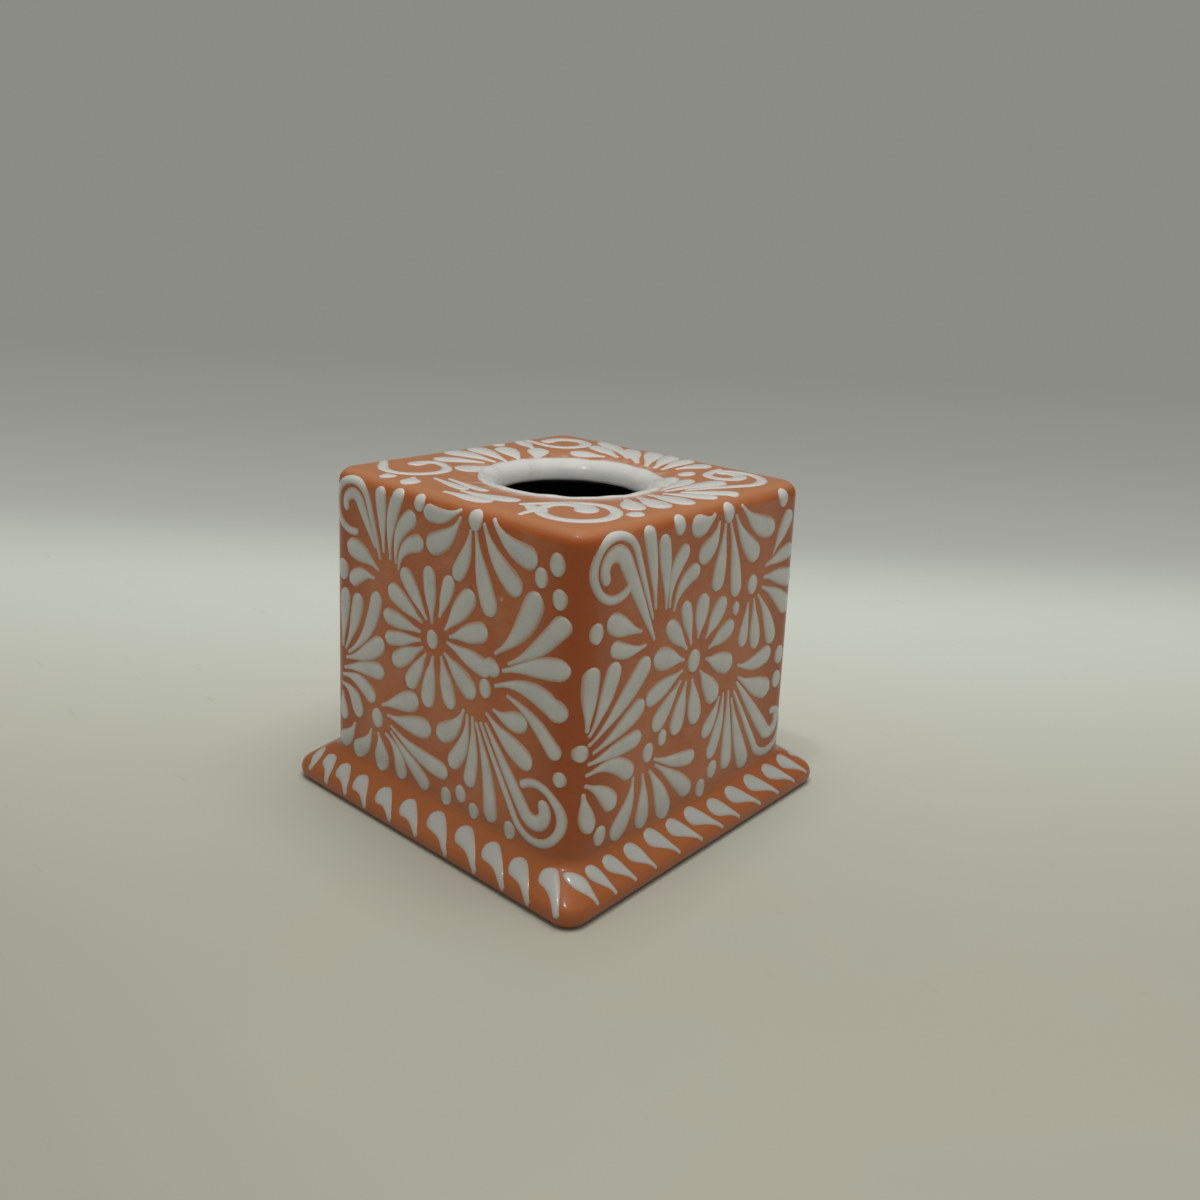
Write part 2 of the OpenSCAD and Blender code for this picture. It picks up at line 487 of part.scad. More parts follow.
module left_daisy() { wall_drops(left_turn, b_daisy_shares, petal_fullness); }
module left_scrolls() { wall_scrolls(left_turn, b_scroll_shares); }
module left_left_sprays() { wall_drops(left_turn, b_left_shares, spray_fullness); }
module left_right_sprays() { wall_drops(left_turn, b_right_shares, spray_fullness); }
module left_upper_sprays() { wall_drops(left_turn, b_upper_shares, spray_fullness); }
module left_dots() { wall_dots(left_turn, b_dot_shares); }
module left_skirt_drops() { skirt_drops(left_turn, b_skirt_shares); }

module top_scrolls() { on_top() scrolls(top_scroll_shares, top_w, top_w); }
module top_sprays() { on_top() drops(top_spray_shares, spray_fullness, top_w, top_w); }
module top_dots() { on_top() dots(top_dot_shares, top_w, top_w); }

shell();
lip_slip();
front_daisy();
front_scrolls();
front_left_sprays();
front_right_sprays();
front_upper_sprays();
front_dots();
front_skirt_drops();
right_daisy();
right_scrolls();
right_left_sprays();
right_right_sprays();
right_upper_sprays();
right_dots();
right_skirt_drops();
back_daisy();
back_scrolls();
back_left_sprays();
back_right_sprays();
back_upper_sprays();
back_dots();
back_skirt_drops();
left_daisy();
left_scrolls();
left_left_sprays();
left_right_sprays();
left_upper_sprays();
left_dots();
left_skirt_drops();
top_scrolls();
top_sprays();
top_dots();
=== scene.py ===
"""Looks of a square tissue box cover: glazed terracotta trailed all over with raised white slip."""

import logging
import math
from dataclasses import dataclass, field
from enum import Enum
from typing import Callable, Sequence, Union

import bpy
import numpy as np
from mathutils import Matrix, Vector


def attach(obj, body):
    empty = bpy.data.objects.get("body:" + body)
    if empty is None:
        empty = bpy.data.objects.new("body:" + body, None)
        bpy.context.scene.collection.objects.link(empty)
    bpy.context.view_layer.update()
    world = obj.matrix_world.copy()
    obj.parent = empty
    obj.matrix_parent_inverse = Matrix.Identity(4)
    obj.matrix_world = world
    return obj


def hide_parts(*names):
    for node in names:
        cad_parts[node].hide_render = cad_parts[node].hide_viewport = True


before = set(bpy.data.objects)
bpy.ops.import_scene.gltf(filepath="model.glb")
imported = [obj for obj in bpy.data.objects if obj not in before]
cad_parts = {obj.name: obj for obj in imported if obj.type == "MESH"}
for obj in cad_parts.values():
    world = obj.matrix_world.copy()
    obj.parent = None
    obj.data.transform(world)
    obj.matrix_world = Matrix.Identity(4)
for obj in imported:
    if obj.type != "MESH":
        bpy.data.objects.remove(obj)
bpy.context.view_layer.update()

MM = 0.001
TINY = 1e-9
# How many seeds each layer has for its strokes, and each side for its layers
STROKE_SEEDS = 100
SIDE_SEEDS = 10
Array = np.ndarray
Row = Sequence[float]
Table = Sequence[Row]
Band = tuple[float, float]
Colour = tuple[float, float, float]
log = logging.getLogger("tissue_box_cover")


class Side(Enum):
    """The four sides of the cover, with each one's turn from the front in degrees."""

    FRONT = 0
    RIGHT = 90
    BACK = 180
    LEFT = 270


class Mark(Enum):
    """How full the drops of a pattern table are."""

    PETAL = 1.5
    SPRAY = 1.25


class SkirtDrop(Enum):
    """The drops of the skirt: their bow, their fullness and the width of their tails in millimetres."""

    FULL = (0.08, 0.62, 2.8)
    SLIM = (0.03, 0.9, 1.7)


# The front and the back have the tables A, and the right and the left have the tables B.
# Drops: [head across, head up, tail across, tail up, width, bow]. Across and width are per cent of the
# top's width and up is per cent of the height. Bow bends a drop to the left, as a share of its length.
PETALS_A = (
    (-4.8, 77.3, -3.3, 64.4, 5.84, 0), (3.3, 76.9, -0.2, 66.9, 5.45, 0),
    (10.9, 74.4, 2.3, 63.9, 7.01, 0), (16, 66.9, 4.3, 62.4, 6.42, 0), (17.6, 57.4, 3.3, 60.4, 6, 0),
    (12, 49.9, 2.3, 56.9, 7.01, 0), (4.4, 44.4, 0.8, 55.4, 6.42, 0), (-4.7, 41.9, -2.7, 54.4, 6.45, 0),
    (-11.8, 44.9, -5.8, 54.4, 6, 0), (-17.9, 49.4, -7.3, 55.9, 6, 0), (-21.5, 54.9, -8.3, 57.9, 5, 0),
    (-22, 61.3, -8.3, 60.4, 5.5, 0), (-19.5, 68.8, -7.8, 63.4, 6.42, 0),
    (-14.5, 74.8, -5.8, 64.9, 5.84, 0), (21.1, 58.4, 16.5, 58.9, 5.8, 0),
)
LEFT_A = (
    (-42.8, 62.3, -44.3, 46.4, 5.19, 0), (-36.7, 61.8, -42.8, 45.9, 5.77, 0.04),
    (-28.1, 64.3, -41.3, 44.9, 6, 0.1), (-27.1, 50.9, -42.3, 42.9, 6.5, 0.05),
    (-27.1, 42.9, -43.3, 39.4, 6, -0.03), (-31.1, 34.4, -44.3, 36.9, 6, -0.12),
    (-37.1, 27.9, -44.8, 33.9, 6.07, -0.18), (-44.2, 24.4, -44.7, 30.9, 4.9, 0),
    (-44.2, 15.5, -38.6, 22.4, 5.44, -0.1), (-11.8, 38.4, -25, 32.9, 7, 0),
    (-6.2, 31.9, -22.5, 30.4, 7.01, 0.03), (1.4, 21.5, -20.9, 27.4, 6.5, 0.05),
    (-6.2, 15.2, -20.9, 25.5, 6, 0), (-16.3, 14.9, -23.4, 24, 5.8, -0.15),
    (-25.4, 15, -27, 23, 7.01, -0.05), (-36.6, 14.8, -30.5, 23, 5.98, -0.12),
)
RIGHT_A = (
    (35.3, 79.4, 22.1, 62.9, 7.59, 0.08), (44.4, 75.9, 27.2, 61.4, 6.4, 0.05),
    (44.5, 64.9, 25.2, 58.9, 6.6, -0.03), (44.3, 54, 22.6, 53.9, 7.01, -0.12),
    (44, 43, 27.2, 52.4, 5.6, -0.08), (31.8, 46.5, 22.2, 46.9, 6.5, 0.08),
    (33.9, 37, 19.6, 44.9, 7.01, 0.03), (2.4, 33.4, 10.5, 42.9, 6.77, -0.1),
    (7, 26.5, 12, 41.9, 5.8, -0.1), (13.6, 23.5, 14, 41.9, 5.5, -0.05),
    (22.2, 16.5, 15.6, 40.9, 6, -0.05),
)
UPPER_A = (
    (-26.2, 95.8, -24.6, 79.8, 5, 0), (-18.6, 96.6, -21.6, 78.3, 5.5, -0.08),
    (-13.2, 91.3, -19.1, 77.8, 5.8, -0.15), (-9.9, 85.3, -18, 76.3, 5.5, -0.18),
    (-38.3, 77.8, -27.2, 73.8, 7.01, 0.05), (-38.3, 68.8, -29.2, 70.8, 5.5, 0.12),
    (-4.9, 94.8, 6.8, 97.8, 5.2, -0.1), (-2.8, 86.8, 7.3, 95.8, 7.01, -0.1),
    (7.1, 81.4, 11.4, 93.4, 5.77, -0.06), (19, 75.4, 13.4, 93.4, 7.01, 0.03),
    (27.7, 82.9, 16.4, 95.9, 7.01, 0.08), (32.7, 90.9, 19.5, 97.9, 6.58, 0.1),
)
# Dots: [across, up, radius], in the same per-cent shares
DOTS_A = (
    (-9.5, 96.8, 2.4), (-43.9, 70.3, 3), (12.9, 96.5, 2.8), (42.4, 91.4, 2.8), (37.3, 86.9, 2.5),
    (43.7, 82.9, 2.5), (23.6, 77.9, 0.6), (18.6, 51.9, 2.6), (-27.5, 27.9, 2.9), (4, 14.5, 2.5),
    (10.1, 17.5, 2.5), (15.6, 14.4, 2.2), (29.9, 14.5, 2.4), (46.4, 35.5, 2), (-3.1, 59.6, 2.6),
)
PETALS_B = (
    (-7.3, 72.4, -4.3, 61.9, 5.37, 0), (0.3, 71.9, -1.2, 62.9, 7.01, 0), (9, 69.4, 2.8, 61.9, 7.01, 0),
    (13.5, 61.9, 4.4, 58.4, 6.42, 0), (13.5, 51.4, 3.3, 55.4, 7.01, 0), (7.4, 43.9, 0.8, 52.4, 7.01, 0),
    (-0.8, 39.9, -2.8, 50.9, 6.76, 0), (-9.2, 39.4, -5.8, 50.9, 6.76, 0),
    (-17.5, 42.9, -8.4, 51.9, 6.52, 0), (-20.6, 50.9, -7.8, 54.9, 6.3, 0),
    (-17.5, 60.9, -7.3, 57.9, 7.01, 0), (-13.4, 68.4, -6.3, 60.9, 5.91, 0),
)
LEFT_B = (
    (-45, 62.9, -46.2, 49, 6.07, 0), (-37.3, 61.9, -45.5, 47.5, 6.99, 0.04),
    (-25.1, 60.4, -45.5, 45, 6.8, 0.04), (-26.7, 49.4, -44, 42.5, 6, 0.04),
    (-27.7, 40.9, -45.5, 39.7, 6, 0), (-30.2, 32.5, -46, 36.7, 6, -0.14),
    (-36.9, 26, -46.2, 33.7, 6.07, -0.06), (-45, 22.3, -46.8, 31.3, 5.37, 0.03),
    (-33.3, 16.5, -27.7, 29.5, 7.24, -0.1), (-2.3, 26.9, -18.6, 31.9, 5.5, 0.04),
    (-3.3, 17.5, -18, 29.9, 6.2, -0.02), (-13.5, 15.2, -20.6, 29, 7.01, -0.04),
    (-23.2, 15.5, -23.6, 29, 6.07, -0.04),
)
RIGHT_B = (
    (34.8, 48.4, 20.1, 48.9, 6.5, 0.08), (35.3, 37.4, 20.6, 44.9, 7.24, 0.03),
    (5.8, 32.9, 11.1, 41.4, 5.8, -0.06), (8.9, 25.4, 13.2, 41.9, 6, -0.06),
    (17, 19.4, 15.8, 41.9, 6.3, 0), (26.1, 16.4, 17.8, 38.9, 6.3, 0.02), (41.5, 89.8, 34.9, 80.3, 6, 0),
    (43.5, 79.8, 31.3, 77.3, 5.5, 0), (44, 71.3, 30.8, 73.8, 6.42, -0.03),
    (43.5, 62.8, 30.3, 70.8, 6.42, -0.05), (36.8, 54.3, 28.3, 68.8, 6, -0.05),
    (28.2, 54.9, 26.2, 67.8, 6.05, 0), (21.6, 56.9, 23.2, 67.3, 5.44, 0),
)
UPPER_B = (
    (-24.5, 95.9, -21, 75.9, 5.4, 0.02), (-18.2, 92.4, -16.4, 74.9, 5.8, 0.02),
    (-9.8, 88.4, -14.9, 74.9, 5.8, -0.12), (-4.7, 82.4, -12.9, 73.4, 5.61, -0.15),
    (-37.3, 75.4, -26.6, 70.9, 6.53, -0.02), (-36.3, 68.4, -24.6, 66.6, 5.24, -0.08),
    (-3.7, 94.8, 3.9, 96.8, 6.54, -0.1), (0.4, 86.8, 6, 94.3, 7.24, -0.12),
    (6.9, 77.8, 9, 93.3, 6.77, -0.02), (16.1, 73.8, 11.5, 93.3, 6, -0.03),
    (24.2, 82.8, 14.1, 94.8, 6.77, 0.06), (31.3, 88.8, 17.1, 97.3, 7.01, 0.08),
)
DOTS_B = (
    (-43.9, 74.4, 2.6), (-11.8, 96.6, 2.7), (10.5, 96.5, 2.8), (38.5, 96.6, 2.7), (16.9, 67.3, 2),
    (24.7, 72.8, 2.8), (-47.6, 43, 2.2), (-2.5, 56.4, 3.2), (-40.8, 17.5, 2.7), (-21.6, 34.9, 2.7),
    (-15.5, 37.4, 2.3), (4.3, 14.7, 2.6), (9.7, 18.8, 2.7), (42.9, 46.4, 2.8), (42.4, 38.4, 2.7),
)
# Scrolls: [tail across, tail up, centre across, centre up, first radius, last radius, sweep in degrees,
# width where the curl begins and at its end, as shares of a plain stroke]
SCROLLS_A = (
    (-26.2, 77.3, -39, 90.2, 7.8, 7.5, 262, 1, 0.9), (-28.4, 80.3, -39, 90.3, 3.9, 3, 160, 1.4, 1),
    (17.4, 41.4, 39.2, 23.5, 8.8, 8.1, 275, 0.97, 0.97),
    (19.4, 41.9, 38.8, 24.5, 4.3, 3.7, 165, 1.8, 1.6),
)
SCROLLS_B = (
    (-22, 73.4, -37.2, 89.6, 8.5, 7.8, 290, 0.97, 0.97),
    (-21, 67.4, -37.8, 89.4, 4.3, 3.7, 180, 1.85, 1.25),
    (18.9, 40.9, 40.3, 22.7, 8.9, 5.5, 230, 1.03, 0.97), (20.1, 43.4, 40.8, 24.4, 3.7, 3, 165, 1.85, 1),
)
# On the top both shares are of the top's width, and up is the way to the back
SCROLLS_TOP = (
    (18.3, -39, 32.8, -32.9, 10, 9.8, -280, 0.97, 0.97),
    (25.5, -46.3, 29.6, -33, 6, 4.6, -150, 0.9, 1.9),
    (-48.5, -31.5, -33.8, -31.4, 9.5, 9.2, 235, 0.9, 0.9),
    (-31, -22.2, -34.5, -27, 5.3, 3.2, 110, 0.9, 1.7),
    (-48.5, 27.8, -35.2, 34.5, 8.3, 6, 300, 0.9, 1.5), (34.8, 11, 33, 33.5, 10.5, 10, 170, 0.95, 0.9),
    (23.8, 42.5, 30.6, 35.6, 5.4, 4.2, 300, 0.9, 1.4),
)
SPRAYS_TOP = (
    (-43.8, -6.8, -29.6, -3.6, 7.26, 0), (-43.4, 2.4, -28.8, 0.6, 6.63, 0),
    (-38.4, 9.9, -28, 6, 6.53, 0), (-31.3, 17.7, -26, 11.8, 6.43, 0), (-37.8, -16.3, -30, -8, 6.53, 0),
    (-25.7, -18.5, -26.2, -10.8, 6.43, 0), (-44.3, 23.2, -35.5, 19.2, 4.56, 0),
    (-22.8, 37.6, -10, 32.6, 5.8, 0), (-21, 27, -13.4, 29.8, 6.01, 0), (-26, 45.6, -6.8, 34, 5.4, 0.03),
    (-12.3, 42.4, -0.8, 31.8, 5.4, 0), (-4.5, 45.5, 3.8, 30.8, 5.6, 0), (2.7, 45, 7.6, 30.4, 5.39, 0),
    (9.6, 43.5, 10.9, 30.2, 5.18, 0), (17.4, 41.8, 14.4, 33, 5.39, 0), (20.9, 21.1, 24.8, 12.9, 4.4, 0),
    (27, 20.5, 27.8, 8.6, 5.26, 0), (35, 24.8, 30.4, 7, 5.6, 0), (45, 16.8, 35.6, 7.6, 5.12, 0.03),
    (43.5, 7.8, 32.6, 3.2, 5.87, 0.05), (43, -2.2, 30.5, -0.8, 6.53, 0),
    (41.5, -10.5, 30.5, -5.8, 6.43, 0), (38.8, -17.8, 30.3, -10.6, 6.01, 0),
    (12.3, -37.6, -2.5, -40.8, 5.4, 0.05), (9, -43.9, -4.5, -45.2, 4.8, 0),
    (-1, -35, -16, -33.3, 3.2, 0), (-5, -38.6, -18.5, -36.6, 3.2, 0),
    (-29.3, -45, -31.2, -43.8, 4.15, 0), (-19.7, -44.8, -23, -41, 4.97, 0),
    (25.4, -39.8, 18.6, -38, 4.4, 0),
)
DOTS_TOP = (
    (20.9, 29.2, 2.8), (44.2, -23.6, 2.5), (-45.5, 13.5, 2.2),
)
# Drops on the skirt: [head across, head up, tail across, tail up, width]. Across and width are per cent of
# the top's width, and up is per cent of the way up the slant from the table to the wall.
SKIRT_A = (
    (-52.6, 57, -51.9, 28, 4.6), (-46.3, 60, -42.9, 20, 5.4), (-38.4, 56, -33.2, 20, 5.9),
    (-29.1, 52, -23.6, 18, 6.2), (-18.1, 53, -11.7, 20, 6.3), (-7.1, 56, 0.1, 20, 6.4),
    (4.5, 62, 13, 17, 6.4), (16.1, 64, 24.9, 17, 6.4), (27.3, 62, 35.9, 17, 6.3),
    (37.6, 62, 45.3, 17, 6.1), (47.5, 72, 55.3, 22, 5.6),
)
SKIRT_B = (
    (-51.2, 72, -49.6, 26, 4.6), (-45.7, 76, -42.4, 25, 4.9), (-38.9, 75, -34.1, 26, 5.4),
    (-30.2, 73, -25.6, 26, 5.8), (-21, 77, -14.8, 26, 6), (-11.6, 72, -4.4, 24, 6),
    (-2.9, 74, 5.9, 23, 5.9), (7.3, 66, 14.6, 22, 6), (17, 69, 26, 22, 6), (27.3, 70, 36.2, 21, 6),
    (37.6, 71, 45.9, 24, 5.9), (46.4, 74, 53.6, 27, 5.3),
)
FACE_A = (PETALS_A, SCROLLS_A, LEFT_A, RIGHT_A, UPPER_A, DOTS_A, SKIRT_A)
FACE_B = (PETALS_B, SCROLLS_B, LEFT_B, RIGHT_B, UPPER_B, DOTS_B, SKIRT_B)


def eased(t: Array) -> Array:
    """Returns t held to 0..1 and eased at both ends: 3t^2 - 2t^3."""
    t = np.clip(t, 0.0, 1.0)
    return t * t * (3.0 - 2.0 * t)


def ways(degrees: Union[float, Array]) -> Array:
    """Returns the directions (cos a, sin a) at angles in degrees."""
    a = np.radians(degrees)
    return np.stack([np.cos(a), np.sin(a)], axis=-1)


def arc_points(centre: Row, radius: float, start: float, end: float, count: int) -> Array:
    """Points at equal angles on an arc: centre + radius (cos a, sin a), a from start to end in degrees.

    Args:
        centre: The arc's centre.
        radius: Its radius.
        start: Direction of its first point.
        end: Direction of its last point.
        count: Number of points.

    Returns:
        An array of count rows of two.
    """
    return np.array(centre) + radius * ways(np.linspace(start, end, count))


def line_points(start: Row, end: Row, count: int) -> Array:
    """Returns count points at equal steps on the straight line from start to end."""
    t = np.linspace(0.0, 1.0, count)[:, None]
    return np.array(start) * (1.0 - t) + np.array(end) * t


def turned(points: Array, degrees: float) -> Array:
    """Returns points turned about the upright axis: (x cos a - y sin a, x sin a + y cos a)."""
    across, up = ways(degrees)
    spin = np.eye(points.shape[-1])
    spin[:2, :2] = [[across, -up], [up, across]]
    return points @ spin.T


def waves(a: Array, table: Table) -> Array:
    """Returns the sum of share sin(count a + phase) over a table's rows of share, count and phase."""
    share, count, phase = np.array(table).T[:, :, None]
    return (share * np.sin(count * a + phase)).sum(axis=0)


def columns(*values: Union[float, Array]) -> Array:
    """Returns the values as the columns of one array, with single numbers repeated all the way down."""
    return np.stack(np.broadcast_arrays(*values), axis=1)


def grid_quads(rows: int, cols: int, closed_rows: bool = False, closed_cols: bool = True) -> Array:
    """Corners of the quads of a grid of points.

    Quad (i, j) joins points (i, j), (i, j + 1), (i + 1, j + 1) and (i + 1, j), with the last row or
    column joined to the first one where they close.

    Args:
        rows: Rows of points.
        cols: Points in a row.
        closed_rows: Whether the last row joins the first.
        closed_cols: Whether the last point of a row joins its first.

    Returns:
        An integer array of one row of four for each quad.
    """
    across = np.arange(cols if closed_cols else cols - 1)
    i, j = np.meshgrid(np.arange(rows if closed_rows else rows - 1), across, indexing="ij")
    below, beside = (i + 1) % rows, (j + 1) % cols
    quads = np.stack([i * cols + j, i * cols + beside, below * cols + beside, below * cols + j], axis=-1)
    return quads.reshape(-1, 4)


def make_piece(name: str, points: Array, faces: Sequence[Array], share: Array) -> bpy.types.Object:
    """Puts worked-out points and faces into a smooth mesh object at the origin.

    Args:
        name: The object's name.
        points: Points in millimetres, in the row frame.
        faces: Arrays of faces, each with its own number of corners.
        share: One number for each point, kept as the attribute share.

    Returns:
        The new object.
    """
    mesh = bpy.data.meshes.new(name)
    mesh.from_pydata((points * MM).tolist(), [], [face for block in faces for face in block.tolist()])
    layer = mesh.attributes.new("share", "FLOAT", "POINT")
    layer.data.foreach_set("value", np.asarray(share, np.float32))
    mesh.polygons.foreach_set("use_smooth", np.ones(len(mesh.polygons), bool))
    mesh.validate()
    mesh.update()
    piece = bpy.data.objects.new(name, mesh)
    bpy.context.scene.collection.objects.link(piece)
    return piece


@dataclass(frozen=True)
class ClayForm:
    """The moulded form of the cover in millimetres, and the smooth surfaces that follow from it.

    Draft is how far a wall leans out on its way down, skirt_tilt in degrees says how shares up the skirt
    are measured, held is the share of a corner's radius that strokes may reach round it, and edge_turn, in
    radians, is how far they may follow the top's rolled edge. Ease_lead counts the shoulder's last points,
    over which its corner begins to ease towards the wall's.
    """

    top_width: float = 138.0
    height: float = 139.0
    draft: float = 3.2
    corner: float = 9.0
    edge: float = 5.9
    wall: float = 6.0
    roof: float = 8.0
    skirt_out: float = 11.3
    skirt_rise: float = 16.5
    rim: float = 6.8
    skirt_corner: float = 9.0
    shoulder: float = 5.2
    cove: float = 5.0
    foot: float = 9.2
    lip: float = 36.8
    throat: float = 30.2
    lip_drop: float = 9.0
    sag: float = 2.0
    sag_start: float = 60.0
    skirt_tilt: float = 45.0
    held: float = 0.97
    edge_turn: float = 1.5
    shoulder_points: int = 24
    slide_points: int = 10
    cove_points: int = 12
    wall_points: int = 64
    edge_points: int = 20
    roll_points: int = 18
    ease_lead: int = 6

    @property
    def axis(self) -> float:
        """Distance from the middle to the axis of an upright corner."""
        return self.top_width / 2 - self.corner

    @property
    def lean(self) -> float:
        """Lean of the walls in degrees."""
        return math.degrees(math.atan(self.draft / (self.height - self.skirt_rise)))

    @property
    def slope(self) -> float:
        """Slope of the skirt in degrees."""
        return math.degrees(math.atan((self.skirt_rise - self.rim) / self.skirt_out))

    @property
    def foot_half(self) -> float:
        """Half width of the walls where they meet the skirt."""
        return self.top_width / 2 + self.draft

    @property
    def skirt_half(self) -> float:
        """Half width over the skirt."""
        return self.foot_half + self.skirt_out

    @property
    def skirt_axis(self) -> float:
        """Distance from the middle to the axis of a skirt corner."""
        return self.skirt_half - self.skirt_corner

    @property
    def shoulder_z(self) -> float:
        """Height of the centre of the skirt's rolled edge."""
        slope = math.radians(self.slope)
        return self.rim - self.shoulder * (1 - math.sin(slope)) / math.cos(slope)

    @property
    def sag_arc(self) -> float:
        """Radius of the arc along which the top sinks."""
        return ((self.sag_start - self.lip) ** 2 + self.sag**2) / (2 * self.sag)

    @property
    def sag_lean(self) -> float:
        """Slope of the sunken top at the lip in degrees."""
        return math.degrees(math.asin((self.sag_start - self.lip) / self.sag_arc))

    @property
    def roll(self) -> float:
        """Radius of the roll of the lip."""
        return (self.lip - self.throat) / (1 - math.sin(math.radians(self.sag_lean)))

    @property
    def roll_centre(self) -> tuple[float, float]:
        """Centre of the roll, as distance from the middle and height."""
        lean = math.radians(self.sag_lean)
        return self.lip + self.roll * math.sin(lean), self.height - self.sag - self.roll * math.cos(lean)

    @property
    def edge_reach(self) -> float:
        """Distance beyond the corner axis at which the top begins to roll over its edge."""
        lean = math.radians(self.lean)
        return self.corner - self.edge * (1 - math.sin(lean)) / math.cos(lean)

    @property
    def collar_z(self) -> float:
        """Height of the lower end of the collar."""
        return self.height - self.sag - self.lip_drop

    @property
    def collar_centre(self) -> tuple[float, float]:
        """Centre of the collar's rounded end, as distance from the middle and height."""
        return self.throat + self.wall / 2, self.collar_z + self.wall / 2

    def throat_turns(self) -> tuple[float, float]:
        """Where the roll of the lip passes over into the collar's rounded end.

        The two circles, of radii R and r and with centres d apart, cross at (R^2 - r^2 + d^2) / (2 d)
        along the line between their centres, and sideways from it by what is left of R.

        Returns:
            The direction of the lower crossing from each of the two centres, in degrees.
        """
        roll, collar = np.array(self.roll_centre), np.array(self.collar_centre)
        apart = float(np.linalg.norm(collar - roll))
        way = (collar - roll) / apart
        along = (self.roll**2 - (self.wall / 2) ** 2 + apart**2) / (2 * apart)
        beside = math.sqrt(self.roll**2 - along**2)
        cross = roll + along * way + beside * np.array([-way[1], way[0]])
        turns = [math.degrees(math.atan2(*(cross - c)[::-1])) % 360 for c in (roll, collar)]
        return turns[0], turns[1]

    def lip_arcs(self, collar_end: float, collar_points: int) -> tuple[Array, Array]:
        """The roll of the lip, and the collar's rounded end below it.

        Args:
            collar_end: Direction in degrees in which the second arc ends.
            collar_points: Number of points on the second arc.

        Returns:
            The points of both arcs, without the second one's first, which ends the roll too.
        """
        roll_end, collar_start = self.throat_turns()
        roll = arc_points(self.roll_centre, self.roll, 90 + self.sag_lean, roll_end, self.roll_points)
        collar = arc_points(self.collar_centre, self.wall / 2, collar_start, collar_end, collar_points)
        return roll, collar[1:]

    @property
    def ceiling_z(self) -> float:
        """Height of the ceiling over the tissue box."""
        return self.height - self.roof

    def flank(self) -> tuple[Array, Array, Array]:
        """The outside from the foot up to the top, halfway along a side.

        The shoulder arc rolls out from the foot and over into the slope, which runs in to a cove arc
        that turns up into the leaning wall, and an arc rolls the wall over into the top. Along the slope
        and the cove the corner's axis eases from the skirt's to the wall's.

        Returns:
            Distance from the middle, height, and the corner's axis, one number for each point.
        """
        lean, slope = math.radians(self.lean), math.radians(self.slope)
        under = -math.degrees(math.asin(self.shoulder_z / self.shoulder))
        wall_way = np.array([-math.sin(lean), math.cos(lean)])
        slope_way = np.array([math.cos(slope), -math.sin(slope)])
        middle = wall_way + slope_way
        half = math.radians(90 + self.lean + self.slope) / 2
        centre = np.array([self.foot_half, self.skirt_rise])
        centre = centre + middle / np.linalg.norm(middle) * self.cove / math.sin(half)
        shoulder = arc_points((self.skirt_half - self.shoulder, self.shoulder_z), self.shoulder,
                              under, 90 - self.slope, self.shoulder_points)
        cove = arc_points(centre, self.cove, 270 - self.slope, 180 + self.lean, self.cove_points)
        slide = line_points(shoulder[-1], cove[0], self.slide_points)
        edge = arc_points((self.axis + self.edge_reach, self.height - self.edge), self.edge,
                          self.lean, 90, self.edge_points)
        wall = line_points(cove[-1], edge[0], self.wall_points)
        line = np.concatenate([shoulder, slide[1:], cove[1:], wall[1:], edge[1:]])
        way = np.concatenate([[0.0], np.cumsum(np.linalg.norm(np.diff(line, axis=0), axis=1))])
        begin = way[self.shoulder_points - self.ease_lead]
        end = way[len(shoulder[1:]) + len(slide[1:]) + len(cove[1:])]
        ease = eased((way - begin) / (end - begin))
        return line[:, 0], line[:, 1], self.skirt_axis + (self.axis - self.skirt_axis) * ease

    def side_point(self, across: Array, reach: Array, height: Array, axis: Array) -> Array:
        """Point of the front's surface, round its corners too.

        Up to the corner's axis y is -reach. Beyond it the point lies on the corner's arc, so that
        y = -(axis + sqrt((reach - axis)^2 - (|across| - axis)^2)).

        Args:
            across: Distance to the right of the middle.
            reach: Distance of the surface from the middle plane.
            height: Height above the table.
            axis: Distance of the corner's axis from the middle.

        Returns:
            Points with x, y and z in the last place.
        """
        radius = reach - axis
        beyond = np.clip(np.abs(across) - axis, 0.0, self.held * radius)
        held = np.sign(across) * np.minimum(np.abs(across), axis + beyond)
        return np.stack([held, -(axis + np.sqrt(radius**2 - beyond**2)), height], axis=-1)

    def flank_point(self, across: Array, place: Array, along: Array) -> Array:
        """Returns the points of the front where a measure along the flank has the value place."""
        return self.side_point(across, *(np.interp(place, along, line) for line in self.flank()))

    def wall_point(self, across: Array, up: Array) -> Array:
        """Returns the points of the front wall at the heights up.

        Where the edge begins to roll, the way up goes on along the roll, at height e + r sin((up - e) / r).
        """
        roll = self.height - self.edge
        turn = np.clip((up - roll) / self.edge, 0, self.edge_turn)
        up = np.where(up > roll, roll + self.edge * np.sin(turn), up)
        return self.flank_point(across, up, self.flank()[1])

    def skirt_point(self, across: Array, up: Array) -> Array:
        """Returns the points of the front skirt that lie up the slant, as seen from the trailing direction.

        The distance up the slant of a point of the flank is (skirt_half - reach) cos t + height sin t,
        where t is the tilt of the slant.
        """
        reach, height, _ = self.flank()
        tilt = math.radians(self.skirt_tilt)
        slant = (self.skirt_half - reach) * math.cos(tilt) + height * math.sin(tilt)
        return self.flank_point(across, up, slant)

